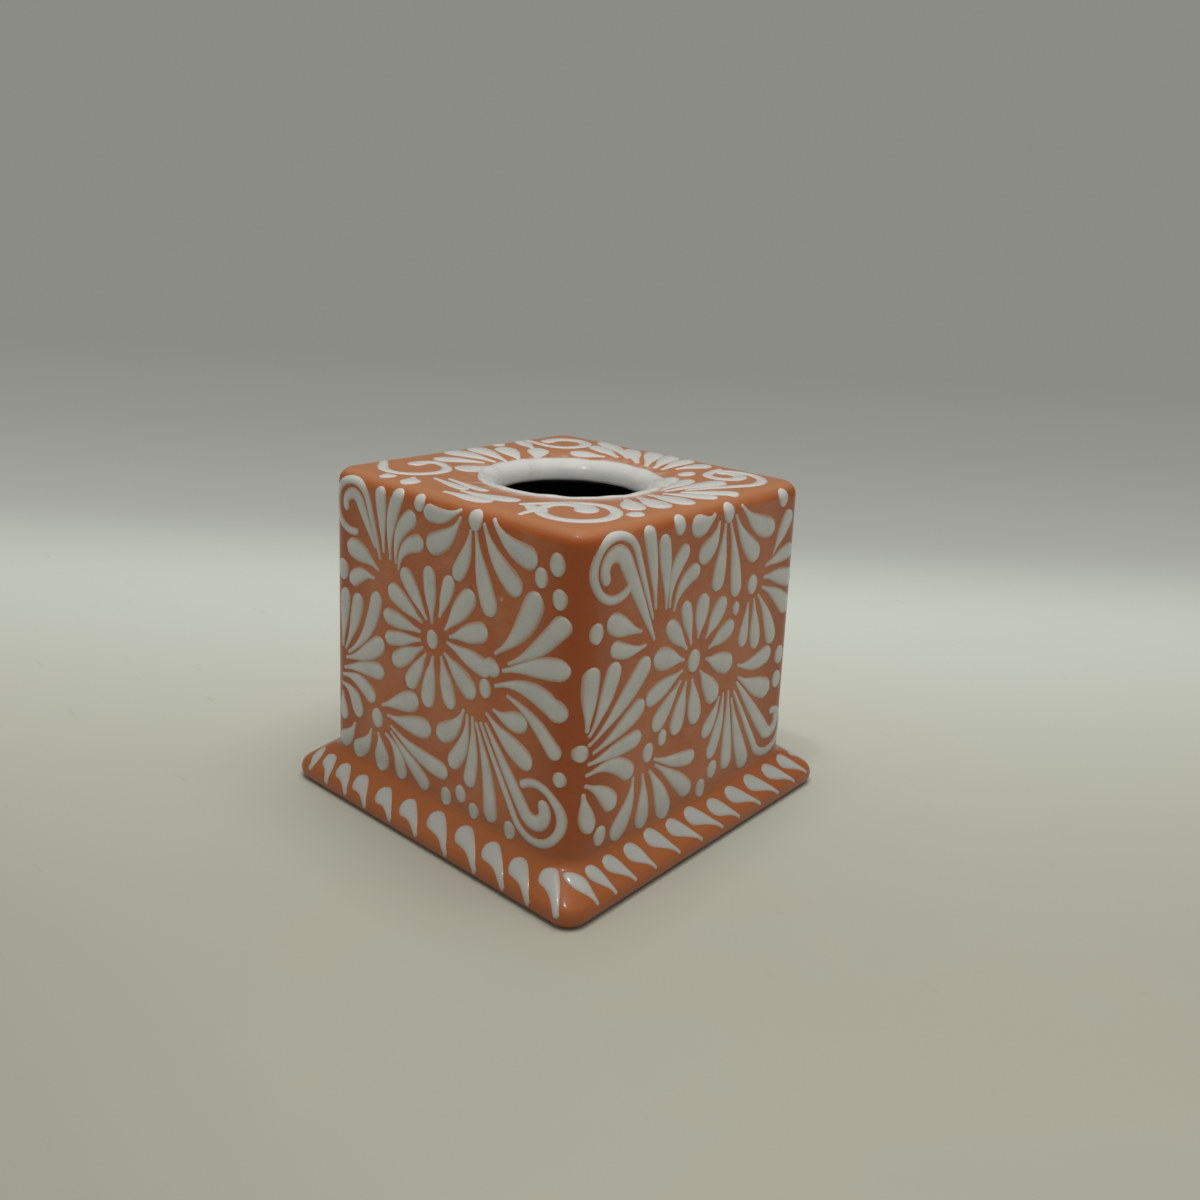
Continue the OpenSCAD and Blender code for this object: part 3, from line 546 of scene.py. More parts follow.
    def top_height(self, x: Array, y: Array) -> Array:
        """Height of the top's surface.

        Beyond the flat it rolls over the edge on an arc, and inside sag_start it sinks on an arc
        towards the lip and then rolls over into the throat on another.
        """
        beyond = np.hypot(np.maximum(np.abs(x) - self.axis, 0), np.maximum(np.abs(y) - self.axis, 0))
        over = np.clip(beyond - self.edge_reach, 0, self.edge)
        r = np.hypot(x, y)
        inward = np.clip(self.sag_start - r, 0, self.sag_start - self.lip)
        sunk = self.sag_arc - np.sqrt(self.sag_arc**2 - inward**2)
        centre_r, centre_z = self.roll_centre
        rolled = centre_z + np.sqrt(np.maximum(self.roll**2 - (centre_r - r) ** 2, 0))
        plain = self.height - self.edge + np.sqrt(self.edge**2 - over**2) - sunk
        return np.where(r < self.lip, rolled, plain)

    def top_point(self, x: Array, y: Array) -> Array:
        """Returns the points of the top's surface over x and y."""
        return np.stack([x, y, self.top_height(x, y)], axis=-1)


FORM = ClayForm()


def raised(surface: Callable[[Array, Array], Array], across: Array, up: Array, height: Array) -> Array:
    """Points that stand above a surface along its normal.

    The normal is the cross product of the surface's two slopes, each taken over a short step to both sides.

    Args:
        surface: Gives points for arrays of its two parameters.
        across: First parameter.
        up: Second parameter.
        height: Height above the surface.

    Returns:
        Points with x, y and z in the last place.
    """
    step = 0.05
    along = surface(across + step, up) - surface(across - step, up)
    rise = surface(across, up + step) - surface(across, up - step)
    normal = np.cross(along, rise)
    normal /= np.maximum(np.linalg.norm(normal, axis=-1, keepdims=True), TINY)
    return surface(across, up) + normal * height[..., None]


@dataclass(frozen=True)
class Trail:
    """One trailed stroke: the points of its middle line and its half width at each."""

    line: Array
    half: Array

    @staticmethod
    def rounded(line: Array, half: Array, head_turns: Row = (90, 72, 48, 24),
                tail_turns: Row = (24, 72)) -> "Trail":
        """A stroke with rounded ends added to it.

        Each turn a of an end adds a point that lies half sin a straight on from the end, where the half
        width is half cos a.

        Args:
            line: Points of the middle line from head to tail.
            half: Half width at each point.
            head_turns: Turns in degrees, from the tip of the head on.
            tail_turns: Turns in degrees, up to the tip of the tail.

        Returns:
            The stroke with its ends.
        """
        ends = []
        for end, inner, turns in ((0, 1, head_turns), (-1, -2, tail_turns)):
            straight = (line[end] - line[inner]) / np.linalg.norm(line[end] - line[inner])
            turn = half[end] * ways(np.array(turns))
            ends.append((line[end] + turn[:, 1:] * straight, turn[:, 0]))
        (head, head_half), (tail, tail_half) = ends
        return Trail(np.concatenate([head, line, tail]), np.concatenate([head_half, half, tail_half]))


@dataclass(frozen=True)
class Hand:
    """A hand that trails strokes by the rows of the pattern tables.

    Shares across and widths are per cent of the length across, and shares up of the length up. Stroke and
    tail are the widths of a plain stroke and of the end of a tail. All four are in millimetres. Curl_step is
    the turn in degrees from one point of a curl to the next, and dot_reach and dot_width are shares of a
    dot's radius.
    """

    across: float
    up: float
    stroke: float = 4.0
    tail: float = 1.9
    drop_points: int = 10
    run_points: int = 8
    curl_step: float = 9.0
    dot_reach: float = 0.12
    dot_width: float = 0.97
    dot_turns: Row = (90, 78, 62, 44, 24)

    def spot(self, across: float, up: float) -> Array:
        """Returns the place at these shares, in millimetres."""
        return np.array([across * self.across, up * self.up]) / 100

    def drop(self, row: Row, fullness: float) -> Trail:
        """A drop that falls away from a full head to a thin tail.

        Its line is a curve of the second degree that bends to the left by its bow times its length. Its
        width goes from the head's to the tail's by (1 - cos(pi t^fullness)) / 2.

        Args:
            row: A row of a table of drops.
            fullness: Above one the head stays wide for longer.

        Returns:
            The stroke.
        """
        head, tail = self.spot(*row[:2]), self.spot(*row[2:4])
        width, bow = row[4] * self.across / 100, row[5]
        along = tail - head
        bend = (head + tail) / 2 + 2 * bow * np.array([-along[1], along[0]])
        t = np.linspace(0.0, 1.0, self.drop_points)[:, None]
        line = (1 - t) ** 2 * head + 2 * t * (1 - t) * bend + t**2 * tail
        fall = (1 - np.cos(np.pi * t[:, 0] ** fullness)) / 2
        return Trail.rounded(line, (width * (1 - fall) + self.tail * fall) / 2)

    def scroll(self, row: Row) -> Trail:
        """A stroke that runs from a thin tail along a tangent and then curls round a centre.

        The curl starts where the tangent from the tail touches the first radius, and its radius goes
        evenly from the first to the last over the sweep. Along the tangent its width swells as a sine.

        Args:
            row: A row of a table of scrolls.

        Returns:
            The stroke, from the end of its curl to its tail.
        """
        tail, centre = self.spot(*row[:2]), self.spot(*row[2:4])
        first_r, last_r, sweep = row[4] * self.across / 100, row[5] * self.across / 100, row[6]
        away = tail - centre
        first = math.degrees(math.atan2(away[1], away[0])) + math.copysign(1.0, sweep) * math.degrees(
            math.acos(first_r / float(np.linalg.norm(away))))
        t = np.linspace(0.0, 1.0, int(abs(sweep) / self.curl_step) + 2)
        curl = centre + (first_r + (last_r - first_r) * t)[:, None] * ways(first + sweep * t)
        run = line_points(tail, curl[0], self.run_points)[:-1]
        begin, finish = row[7] * self.stroke, row[8] * self.stroke
        swell = np.sin(np.linspace(0.0, 0.5 * np.pi, self.run_points))[:-1]
        widths = np.concatenate([self.tail + (begin - self.tail) * swell, begin + (finish - begin) * t])
        return Trail.rounded(np.concatenate([run, curl])[::-1], widths[::-1] / 2)

    def dot(self, row: Row) -> Trail:
        """Returns a round dot: a stroke of almost no length with wide ends."""
        radius = row[2] * self.across / 100
        reach = np.array([0.0, self.dot_reach * radius])
        line = self.spot(*row[:2]) + np.array([reach, -reach])
        return Trail.rounded(line, np.full(2, self.dot_width * radius), self.dot_turns, self.dot_turns[::-1])


@dataclass(frozen=True)
class Bead:
    """The domed body of a stroke of slip: the same ring of points carried along its line.

    Sunk is how deep the point under the middle lies, edge is how deep the bead's rim lies, and tip is the
    half width of its ends, all in millimetres.
    """

    crest: float = 0.5
    sunk: float = 0.45
    edge: float = 0.05
    fill: float = 0.95
    dome: float = 0.7
    tip: float = 0.02
    wander: float = 0.03
    swell: float = 0.06
    around: int = 8

    def carry(self, trail: Trail, seed: int) -> tuple[Array, Array, Array, Array]:
        """Grid of points in the plane of the face, with their heights.

        Across the stroke v = -cos(pi j / n), and the height is crest (1 - exp(-half / fill))
        (1 - v^2)^dome, so that a wide head stands taller than a thin tail. One more point under the
        middle is sunk into the clay and closes the ring. Each half width wanders a little by two slow
        sines, as a hand does, and the height swells by a third.

        Args:
            trail: The stroke.
            seed: Sets how the hand wanders.

        Returns:
            Points across and up, heights, and quads of a skin whose ends are still open.
        """
        rng = np.random.default_rng(seed)
        phase, share = rng.uniform(0, 2 * np.pi, 3), rng.uniform(0.6, 1.0, 2)
        rows = len(trail.line)
        s = np.linspace(0.0, 1.0, rows)
        way = np.gradient(trail.line, axis=0)
        way /= np.maximum(np.linalg.norm(way, axis=1, keepdims=True), TINY)
        left = np.stack([-way[:, 1], way[:, 0]], axis=1)
        half = trail.half * (1 + self.wander * waves(s, ((share[0], 5, phase[0]), (share[1], 11, phase[1]))))
        half[[0, -1]] = self.tip
        v = -np.cos(np.pi * np.arange(self.around) / (self.around - 1))
        tall = self.crest * (1 - np.exp(-half / self.fill))
        tall *= 1 - self.swell + self.swell * np.sin(3 * s + phase[2])
        middle = trail.line[:, None, :]
        plane = np.concatenate([middle + (half[:, None] * v)[..., None] * left[:, None, :], middle], axis=1)
        height = tall[:, None] * np.clip(1 - v**2, 0, 1) ** self.dome - self.edge
        height = np.concatenate([height, np.full((rows, 1), -self.sunk)], axis=1)
        return plane[..., 0], plane[..., 1], height, grid_quads(rows, self.around + 1)[:, ::-1]


class Part:
    """What the parts of the cover share: each takes the place of the CAD node of its own name."""

    name: str

    def build(self) -> bpy.types.Object:
        """Returns the part's own piece."""
        raise NotImplementedError

    def dress(self, piece: bpy.types.Object, finish: "Finish") -> None:
        """Gives the piece its finish, and puts it in the place of its CAD node."""
        piece.data.materials.append(finish.material())
        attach(piece, "root")
        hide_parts(self.name)


@dataclass
class SlipLayer(Part):
    """One layer of trailed slip: all the strokes of a node, as one mesh that follows the clay."""

    name: str
    surface: Callable[[Array, Array], Array]
    turn: float
    trails: list[Trail]
    seed: int
    bead: Bead = field(default_factory=Bead)

    def build(self) -> bpy.types.Object:
        """Carries a bead along every stroke, lifts it off the surface and turns it to its side.

        Returns:
            The layer's object, with the share of the full height as its share.
        """
        points, faces, shares, base = [], [], [], 0
        for number, trail in enumerate(self.trails):
            across, up, height, quads = self.bead.carry(trail, self.seed * STROKE_SEEDS + number)
            points.append(raised(self.surface, across, up, height).reshape(-1, 3))
            shares.append(np.clip(height / self.bead.crest, 0, 1).reshape(-1))
            rows, cols = across.shape
            ring = np.arange(cols)
            caps = np.stack([ring, (rows - 1) * cols + ring[::-1]])
            faces += [quads + base, caps + base]
            base += across.size
        return make_piece(self.name, turned(np.concatenate(points), self.turn), faces, np.concatenate(shares))


@dataclass
class Shell(Part):
    """The moulded clay body: skirt, leaning walls, sunken top, lip, collar and the room inside."""

    name: str = "shell"
    form: ClayForm = FORM
    side_steps: int = 30
    corner_steps: int = 12
    top_steps: int = 30
    collar_points: int = 14
    ceiling_steps: int = 12
    room_points: int = 16
    flare_points: int = 5
    flare: float = 0.25
    ceiling_round: float = 1.5
    foot_round: float = 0.6

    def path(self) -> tuple[Array, Array]:
        """The way round a rounded square, counterclockwise from the front's left end.

        Along a side the base point slides and the direction stays. Round a corner the base point stays
        and the direction turns by a right angle. A point of the path is axis * base + radius * direction.

        Returns:
            Base points and directions, two numbers each.
        """
        slide = np.linspace(-1.0, 1.0, self.side_steps + 1)
        turn = np.linspace(-90.0, 0.0, self.corner_steps + 1)[1:-1]
        base = np.concatenate([columns(slide, -1.0), columns(np.ones_like(turn), -1.0)])
        way = np.concatenate([columns(0.0 * slide, -1.0), ways(turn)])
        bases, directions = ([turned(side, 90 * quarter) for quarter in range(4)] for side in (base, way))
        return np.concatenate(bases), np.concatenate(directions)

    def rings(self) -> Array:
        """The closed outline of the clay, from the foot up the outside and back down the inside.

        Returns:
            One row for each ring: the corner's axis, its radius, the radius of a circle, how far the ring
            has gone over from the rounded square to the circle, its height, whether its height is read
            off the top's surface, and the share of shade that lies on it.
        """
        f = self.form

        def squares(line: Array, axis: Union[float, Array], shade: float) -> Array:
            """Returns rounded squares through points of [distance from the middle, height]."""
            return columns(axis, line[:, 0] - axis, 0.0, 0.0, line[:, 1], 0.0, shade)

        def circles(line: Array, shade: float) -> Array:
            """Returns circles through points of [radius, height]."""
            return columns(f.axis, f.edge_reach, line[:, 0], 1.0, line[:, 1], 0.0, shade)

        reach, height, axis = f.flank()
        inward = np.linspace(0.0, 1.0, self.top_steps)[1:]
        roll, collar = f.lip_arcs(360, self.collar_points)
        outward = np.linspace(1.0, 0.0, self.ceiling_steps)[1:]
        above = slice(f.shoulder_points, None)
        room = float(np.interp(f.ceiling_z, height[above], reach[above])) - f.wall
        ceiling = room - self.ceiling_round - f.axis
        low = f.foot_half + f.draft * (f.skirt_rise - f.rim) / (f.height - f.skirt_rise) - f.wall
        foot = f.skirt_half - f.foot
        inside = [
            line_points((room, f.ceiling_z - self.ceiling_round), (low, f.rim), self.room_points),
            line_points((low, f.rim), (foot, f.rim * self.flare), self.flare_points)[1:],
            np.array([[foot, self.foot_round], [foot + self.foot_round, 0.0]]),
        ]
        return np.concatenate([
            squares(columns(reach, height), axis, 0.0),
            columns(f.axis, f.edge_reach, f.lip, inward, f.height, 1.0, 0.0),
            circles(roll[1:-2], 0.0),
            # from here in the rings carry painted shade: the roll's last rings, the collar and the room
            circles(roll[-2:], 1.0),
            circles(collar[:-1], 1.0),
            columns(f.axis, ceiling, f.throat + f.wall, outward, f.ceiling_z, 0.0, 1.0),
            squares(np.concatenate(inside), f.axis, 1.0),
        ])

    def build(self) -> bpy.types.Object:
        """Carries the outline round the cover as a loft between rounded squares and circles.

        Each point is (1 - g) (axis base + radius direction) + g circle unit, where g is how far the ring
        has gone over to the circle and unit points from the middle to the edge of the top.

        Returns:
            The closed body.
        """
        base, way = self.path()
        axis, radius, circle, gone, height, on_top, shade = (c[:, None] for c in self.rings().T)
        unit = self.form.axis * base + self.form.edge_reach * way
        unit /= np.linalg.norm(unit, axis=1, keepdims=True)
        x, y = ((1 - gone) * (axis * base[:, k] + radius * way[:, k]) + gone * circle * unit[:, k]
                for k in (0, 1))
        z = np.where(on_top > 0, self.form.top_height(x, y), height + 0 * x)
        points = np.stack([x, y, z], axis=-1)
        return make_piece(self.name, points.reshape(-1, 3), [grid_quads(*z.shape, True)],
                          (shade + 0 * z).reshape(-1))


@dataclass
class LipSlip(Part):
    """The coat of slip brushed over the roll of the lip and down the throat.

    Slip is its thickness, which swells about the share mean, and full is the thickness that covers the clay.
    Spread is how far its outer edge wanders, outside is how far that edge lies beyond the lip, steps are
    the ways in from the edge to its first points, and collar_end is where the coat ends on the collar, in
    degrees. Rises are rows of a point's number and the coat's height there, as a share of its thickness.
    """

    name: str = "lip_slip"
    form: ClayForm = FORM
    around: int = 220
    collar_points: int = 6
    slip: float = 1.1
    spread: float = 0.45
    outside: float = 1.75
    collar_end: float = 203
    sunk: float = 0.5
    full: float = 0.5
    steps: Row = (0.0, 0.12, 0.35, 0.75, 1.3)
    rises: Table = ((0, -0.4), (1, 0.15), (2, 0.6), (3, 0.9), (4, 1.03), (6, 1.1), (14, 1),
                    (-2, 0.7), (-1, -0.1))
    edge_waves: Table = ((0.45, 3, 0.7), (0.35, 7, 2.1), (0.3, 13, 4.0), (0.2, 23, 1.0))
    mean: float = 0.82
    swell_waves: Table = ((0.08, 4, 1.3), (0.1, 11, 0.4), (0.07, 19, 2.2))

    def build(self) -> bpy.types.Object:
        """Carries a thin coat round the opening, with an outer edge that wanders.

        The coat starts at the radius lip + outside + wander(a), goes down the sunken top to the lip,
        follows the roll and ends a little way round the collar's rounded end. Its thickness rises from
        nothing at both ends and swells by a few slow sines of the angle a. Its back is sunk into the clay
        and closes it.

        Returns:
            The closed ring, with the share of the full thickness as its share.
        """
        f = self.form
        a = np.linspace(0.0, 2 * np.pi, self.around, endpoint=False)
        roll, collar = f.lip_arcs(self.collar_end, self.collar_points)
        line = np.concatenate([roll, collar])
        start = f.lip + self.outside + self.spread * waves(a, self.edge_waves) - np.array(self.steps)[:, None]
        r = np.concatenate([start, line[:, :1] + 0 * a])
        z = np.concatenate([f.top_height(start, 0 * start), line[:, 1:] + 0 * a])
        lean = math.radians(f.sag_lean)
        normal = np.concatenate([np.tile([-math.sin(lean), math.cos(lean)], (len(start), 1)),
                                 (roll - f.roll_centre) / f.roll, (collar - f.collar_centre) / (f.wall / 2)])
        count = len(r)
        number, rise = np.array(self.rises).T
        rise = np.interp(np.arange(count), number % count, rise)[:, None]
        thick = rise * (self.mean + waves(a, self.swell_waves)) * self.slip
        front = np.stack([r + normal[:, :1] * thick, z + normal[:, 1:] * thick], axis=-1)
        behind = np.stack([r - normal[:, :1] * self.sunk, z - normal[:, 1:] * self.sunk], axis=-1)[::-1]
        ring = np.concatenate([front, behind[1:-1]])
        points = np.stack([ring[..., 0] * np.cos(a), ring[..., 0] * np.sin(a), ring[..., 1]], axis=-1)
        share = np.concatenate([np.clip(thick / self.full, 0, 1), np.zeros((count - 2, self.around))])
        return make_piece(self.name, points.reshape(-1, 3), [grid_quads(len(ring), self.around, True)],
                          share.reshape(-1))


@dataclass
class SidePattern:
    """The seven layers of slip on one side: daisy, scrolls, three sprays, dots and the skirt's drops."""

    side: Side
    petals: Table
    scrolls: Table
    left: Table
    right: Table
    upper: Table
    dots: Table
    skirt: Table
    skirt_drop: SkirtDrop
    skirt_seed: int = 7
    form: ClayForm = FORM

    def skirt_drops(self) -> list[Trail]:
        """Returns the row of drops along the skirt."""
        f, tilt = self.form, math.radians(self.form.skirt_tilt)
        bow, fullness, tail = self.skirt_drop.value
        hand = Hand(f.top_width, f.skirt_out * math.cos(tilt) + f.skirt_rise * math.sin(tilt), tail=tail)
        return [hand.drop((*row, bow), fullness) for row in self.skirt]

    def layers(self) -> list[SlipLayer]:
        """Returns the side's layers in the order in which they are trailed."""
        f, name, turn = self.form, self.side.name.lower(), float(self.side.value)
        hand, seed = Hand(f.top_width, f.height), list(Side).index(self.side) * SIDE_SEEDS
        made = {
            "daisy": [hand.drop(row, Mark.PETAL.value) for row in self.petals],
            "scrolls": [hand.scroll(row) for row in self.scrolls],
        }
        for place, table in (("left", self.left), ("right", self.right), ("upper", self.upper)):
            made[f"{place}_sprays"] = [hand.drop(row, Mark.SPRAY.value) for row in table]
        made["dots"] = [hand.dot(row) for row in self.dots]
        found = [SlipLayer(f"{name}_{key}", f.wall_point, turn, trails, seed + number)
                 for number, (key, trails) in enumerate(made.items())]
        found.append(SlipLayer(f"{name}_skirt_drops", f.skirt_point, turn, self.skirt_drops(),
                               seed + self.skirt_seed))
        return found


@dataclass
class TopPattern:
    """The three layers of slip on the top, whose strokes are wider than those on the sides.

    A drop of its sprays is wider, in per cent of the top's width, by broad and by the factor fuller.
    """

    form: ClayForm = FORM
    stroke: float = 5.0
    tail: float = 2.4
    broad: float = 0.8
    fuller: float = 1.05
    seed: int = 50

    def layers(self) -> list[SlipLayer]:
        """Returns the top's layers."""
        hand = Hand(self.form.top_width, self.form.top_width, self.stroke, self.tail)
        sprays = [(*row[:4], self.broad + self.fuller * row[4], row[5]) for row in SPRAYS_TOP]
        made = {
            "scrolls": [hand.scroll(row) for row in SCROLLS_TOP],
            "sprays": [hand.drop(row, Mark.SPRAY.value) for row in sprays],
            "dots": [hand.dot(row) for row in DOTS_TOP],
        }
        return [SlipLayer(f"top_{key}", self.form.top_point, 0.0, trails, self.seed + number)
                for number, (key, trails) in enumerate(made.items())]


def math_method(operation: str, swapped: bool = False) -> Callable[["Tone", Union[float, "Tone"]], "Tone"]:
    """Makes a method of Tone out of a Math node's operation.

    Args:
        operation: The operation.
        swapped: Whether the other value comes first.

    Returns:
        The method.
    """
    def method(self: "Tone", other: Union[float, "Tone"]) -> "Tone":
        """Returns the result for the tone and the other value."""
        return self.reckon(operation, other, self) if swapped else self.reckon(operation, self, other)
    return method


class Tone:
    """A socket of a recipe that can be reckoned with: an expression on it adds Math nodes."""

    def __init__(self, recipe: "Recipe", socket: bpy.types.NodeSocket) -> None:
        """Keeps the recipe and the socket."""
        self.recipe, self.socket = recipe, socket

    def reckon(self, operation: str, *values: Union[float, "Tone"]) -> "Tone":
        """Returns the result of a Math node over the values."""
        return self.recipe.node("ShaderNodeMath", {"operation": operation}, dict(enumerate(values)))

    __add__ = __radd__ = math_method("ADD")
    __mul__ = __rmul__ = math_method("MULTIPLY")
    __sub__ = math_method("SUBTRACT")
    __rsub__ = math_method("SUBTRACT", swapped=True)
    __truediv__ = math_method("DIVIDE")

    def __abs__(self) -> "Tone":
        """Returns the size of the tone, without its sign."""
        return self.reckon("ABSOLUTE", self)

    def root(self) -> "Tone":
        """Returns the square root."""
        return self.reckon("SQRT", self)

    def step(self, start: float, end: float) -> "Tone":
        """Returns an eased way from 0 at the start to 1 at the end, level beyond both."""
        return self.recipe.node("ShaderNodeMapRange", {"interpolation_type": "SMOOTHSTEP"},
                                {"Value": self, "From Min": start, "From Max": end})


Given = Union[float, Colour, Tone]


class Recipe:
    """The nodes of one material."""

    def __init__(self, name: str) -> None:
        """Starts an empty material."""
        self.material = bpy.data.materials.new(name)
        self.material.use_nodes = True
        self.material.node_tree.nodes.clear()

    def node(self, kind: str, settings: dict, sockets: dict, out: Union[int, str] = 0) -> Tone:
        """Adds any node.

        Args:
            kind: The node's type.
            settings: Its settings by name, set before its sockets. A ramp's stops are given as stops.
            sockets: Values or tones for its inputs, by name or number.
            out: The output to hand back.

        Returns:
            The chosen output.
        """
        made = self.material.node_tree.nodes.new(kind)
        for key, value in settings.items():
            if key == "stops":
                ramp = made.color_ramp
                while len(ramp.elements) < len(value):
                    ramp.elements.new(0.5)
                for element, (place, colour) in zip(ramp.elements, value):
                    element.position, element.color = place, (*colour, 1.0)
            else:
                setattr(made, key, value)
        for key, value in sockets.items():
            target = made.inputs[key]
            if isinstance(value, Tone):
                self.material.node_tree.links.new(value.socket, target)
            else:
                target.default_value = (*value, 1.0) if target.type == "RGBA" else value
        return Tone(self, made.outputs[out] if made.outputs else None)

    def place(self, scale: Colour = (1.0, 1.0, 1.0)) -> Tone:
        """Returns the point on the object in metres, stretched by scale."""
        point = self.node("ShaderNodeTexCoord", {}, {}, "Object")
        return self.node("ShaderNodeVectorMath", {"operation": "MULTIPLY"}, {0: point, 1: scale})

    def parts(self, point: Tone) -> list[Tone]:
        """Returns the point's x, y and z."""
        return [self.node("ShaderNodeSeparateXYZ", {}, {0: point}, axis) for axis in ("X", "Y", "Z")]

    def noise(self, point: Tone, scale: float, detail: float = 2.0) -> Tone:
        """Returns noise at the point, with that many features to the metre."""
        return self.node("ShaderNodeTexNoise", {"noise_dimensions": "3D"},
                         {"Vector": point, "Scale": scale, "Detail": detail, "Roughness": 0.55})

    def share(self) -> Tone:
        """Returns the piece's own attribute share."""
        return self.node("ShaderNodeAttribute", {"attribute_name": "share"}, {}, "Fac")

    def blend(self, amount: Given, first: Given, second: Given) -> Tone:
        """Returns the first colour gone over to the second by the amount."""
        return self.node("ShaderNodeMix", {"data_type": "RGBA"}, {0: amount, 6: first, 7: second}, 2)

    def coated(self, colour: Given, *coats: tuple[Tone, Colour]) -> Tone:
        """Returns the colour under coats that are laid on in turn, each as thick as its mask."""
        for mask, coat in coats:
            colour = self.blend(mask, colour, coat)
        return colour

    def bump(self, height: Tone, strength: float, distance: float) -> Tone:
        """Returns a normal roughened by a height."""
        return self.node("ShaderNodeBump", {}, {"Height": height, "Strength": strength, "Distance": distance})

    def shader(self, sockets: dict) -> Tone:
        """Returns a Principled shader with these inputs."""
        return self.node("ShaderNodeBsdfPrincipled", {}, sockets)

    def finish(self, surface: Tone) -> bpy.types.Material:
        """Joins the surface to the output and returns the material."""
        self.node("ShaderNodeOutputMaterial", {}, {"Surface": surface})
        return self.material


class Finish:
    """What the finishes share: each is mixed once, and every piece dressed with it wears it."""

    name: str
    slot: str = "stage"

    def mix(self, r: Recipe) -> bpy.types.Material:
        """Returns the finish's own material, mixed from an empty recipe."""
        raise NotImplementedError

    def material(self) -> bpy.types.Material:
        """Returns the material, which is mixed the first time."""
        return bpy.data.materials.get(self.name) or self.mix(Recipe(self.name))


@dataclass(frozen=True)
class ClayGlaze(Finish):
    """Terracotta under a thin clear satin glaze, dark at the foot, with painted shade in the room inside.

    Each band says where a colour sets in and where it is full. Those of the foot, rim, skirt, top and lip
    are heights, that of the corner is the sum of the distances from the two middle planes, and that of the
    streaks is the distance from the middle, all in metres.
    """

    name: str = "terracotta_glaze"
    slot: str = "clay"
    body: Colour = (0.51, 0.158, 0.051)
    deep: Colour = (0.45, 0.108, 0.023)
    hazy: Colour = (0.51, 0.205, 0.095)
    bare: Colour = (0.37, 0.074, 0.009)
    low: Colour = (0.38, 0.12, 0.035)
    # painted sheen: the level top is lighter, in place of the glaze's reflection of the bright room
    level: Colour = (0.49, 0.20, 0.086)
    wash: Colour = (0.58, 0.41, 0.32)
    foot: Colour = (0.16, 0.06, 0.028)
    # painted shade: near black for the room inside the cover and the throat, where light hardly reaches
    inside: Colour = (0.035, 0.02, 0.016)
    corner_band: Band = (0.108, 0.136)
    skirt_band: Band = (0.030, 0.017)
    rim_band: Band = (0.011, 0.003)
    top_sheen_band: Band = (0.1355, 0.1385)
    lip_band: Band = (0.1345, 0.1362)
    streak_band: Band = (0.055, 0.043)
    foot_band: Band = (0.0014, 0.0002)
    streak_squeeze: float = 12
    brushing: Colour = (1.0, 1.0, 9.0)

    def mix(self, r: Recipe) -> bpy.types.Material:
        """Mixes the glaze.

        The colour drifts slowly between the deep and the plain body, with brushed streaks round the walls
        and the lip, a hazy bloom and a fine grain. It is bare along the upright corners and darker on the
        skirt. The level top is lighter, a painted sheen, and the room inside is painted shade, near black.
        Roughness and bump follow the bloom and the grain.

        Args:
            r: An empty recipe.

        Returns:
            The material.
        """
        point = r.place()
        x, y, height = r.parts(point)
        drift, bloom = r.noise(point, 26, 3), r.noise(point, 75, 4)
        grain, speck = r.noise(point, 1500, 3), r.noise(point, 620, 2)
        streak = r.noise(r.place(self.brushing), 70, 4)
        corner = (abs(x) + abs(y) + 0.014 * (drift - 0.5)).step(*self.corner_band)
        far = (x * x + y * y).root()
        ray = r.node("ShaderNodeCombineXYZ", {}, {"X": x / far, "Y": y / far, "Z": far * self.streak_squeeze})
        streaks = r.noise(ray, 11, 3).step(0.42, 0.62) * (far + 0.012 * bloom).step(*self.streak_band)
        colour = r.coated(
            self.deep,
            ((drift * 0.7 + streak * 0.3).step(0.36, 0.60), self.body),
            (bloom.step(0.50, 0.74) * 0.6, self.hazy),
            (grain.step(0.50, 0.70) * 0.5, self.deep),
            (speck.step(0.68, 0.74) * 0.35, self.hazy),
            (corner * 0.9, self.bare),
            ((height + 0.004 * drift).step(*self.skirt_band) * 0.85, self.low),
            ((height + 0.003 * drift).step(*self.rim_band) * 0.6, self.bare),
            # painted sheen on the level top
            (height.step(*self.top_sheen_band), self.level),
            (streaks * height.step(*self.lip_band) * 0.8, self.wash),
            (height.step(*self.foot_band), self.foot),
            # painted shade over the inside, laid where the shell's share of shade is full
            (r.share().step(0.1, 0.9), self.inside),
        )
        normal = r.bump(grain * 0.6 + speck * 0.8 + bloom * 1.2, 0.6, 0.00028)
        rough = 0.24 + 0.14 * bloom + 0.1 * grain
        return r.finish(r.shader({"Base Color": colour, "Roughness": rough, "Normal": normal,
                                  "Coat Weight": 0.25, "Coat Roughness": 0.12,
                                  "Specular IOR Level": 0.4}))


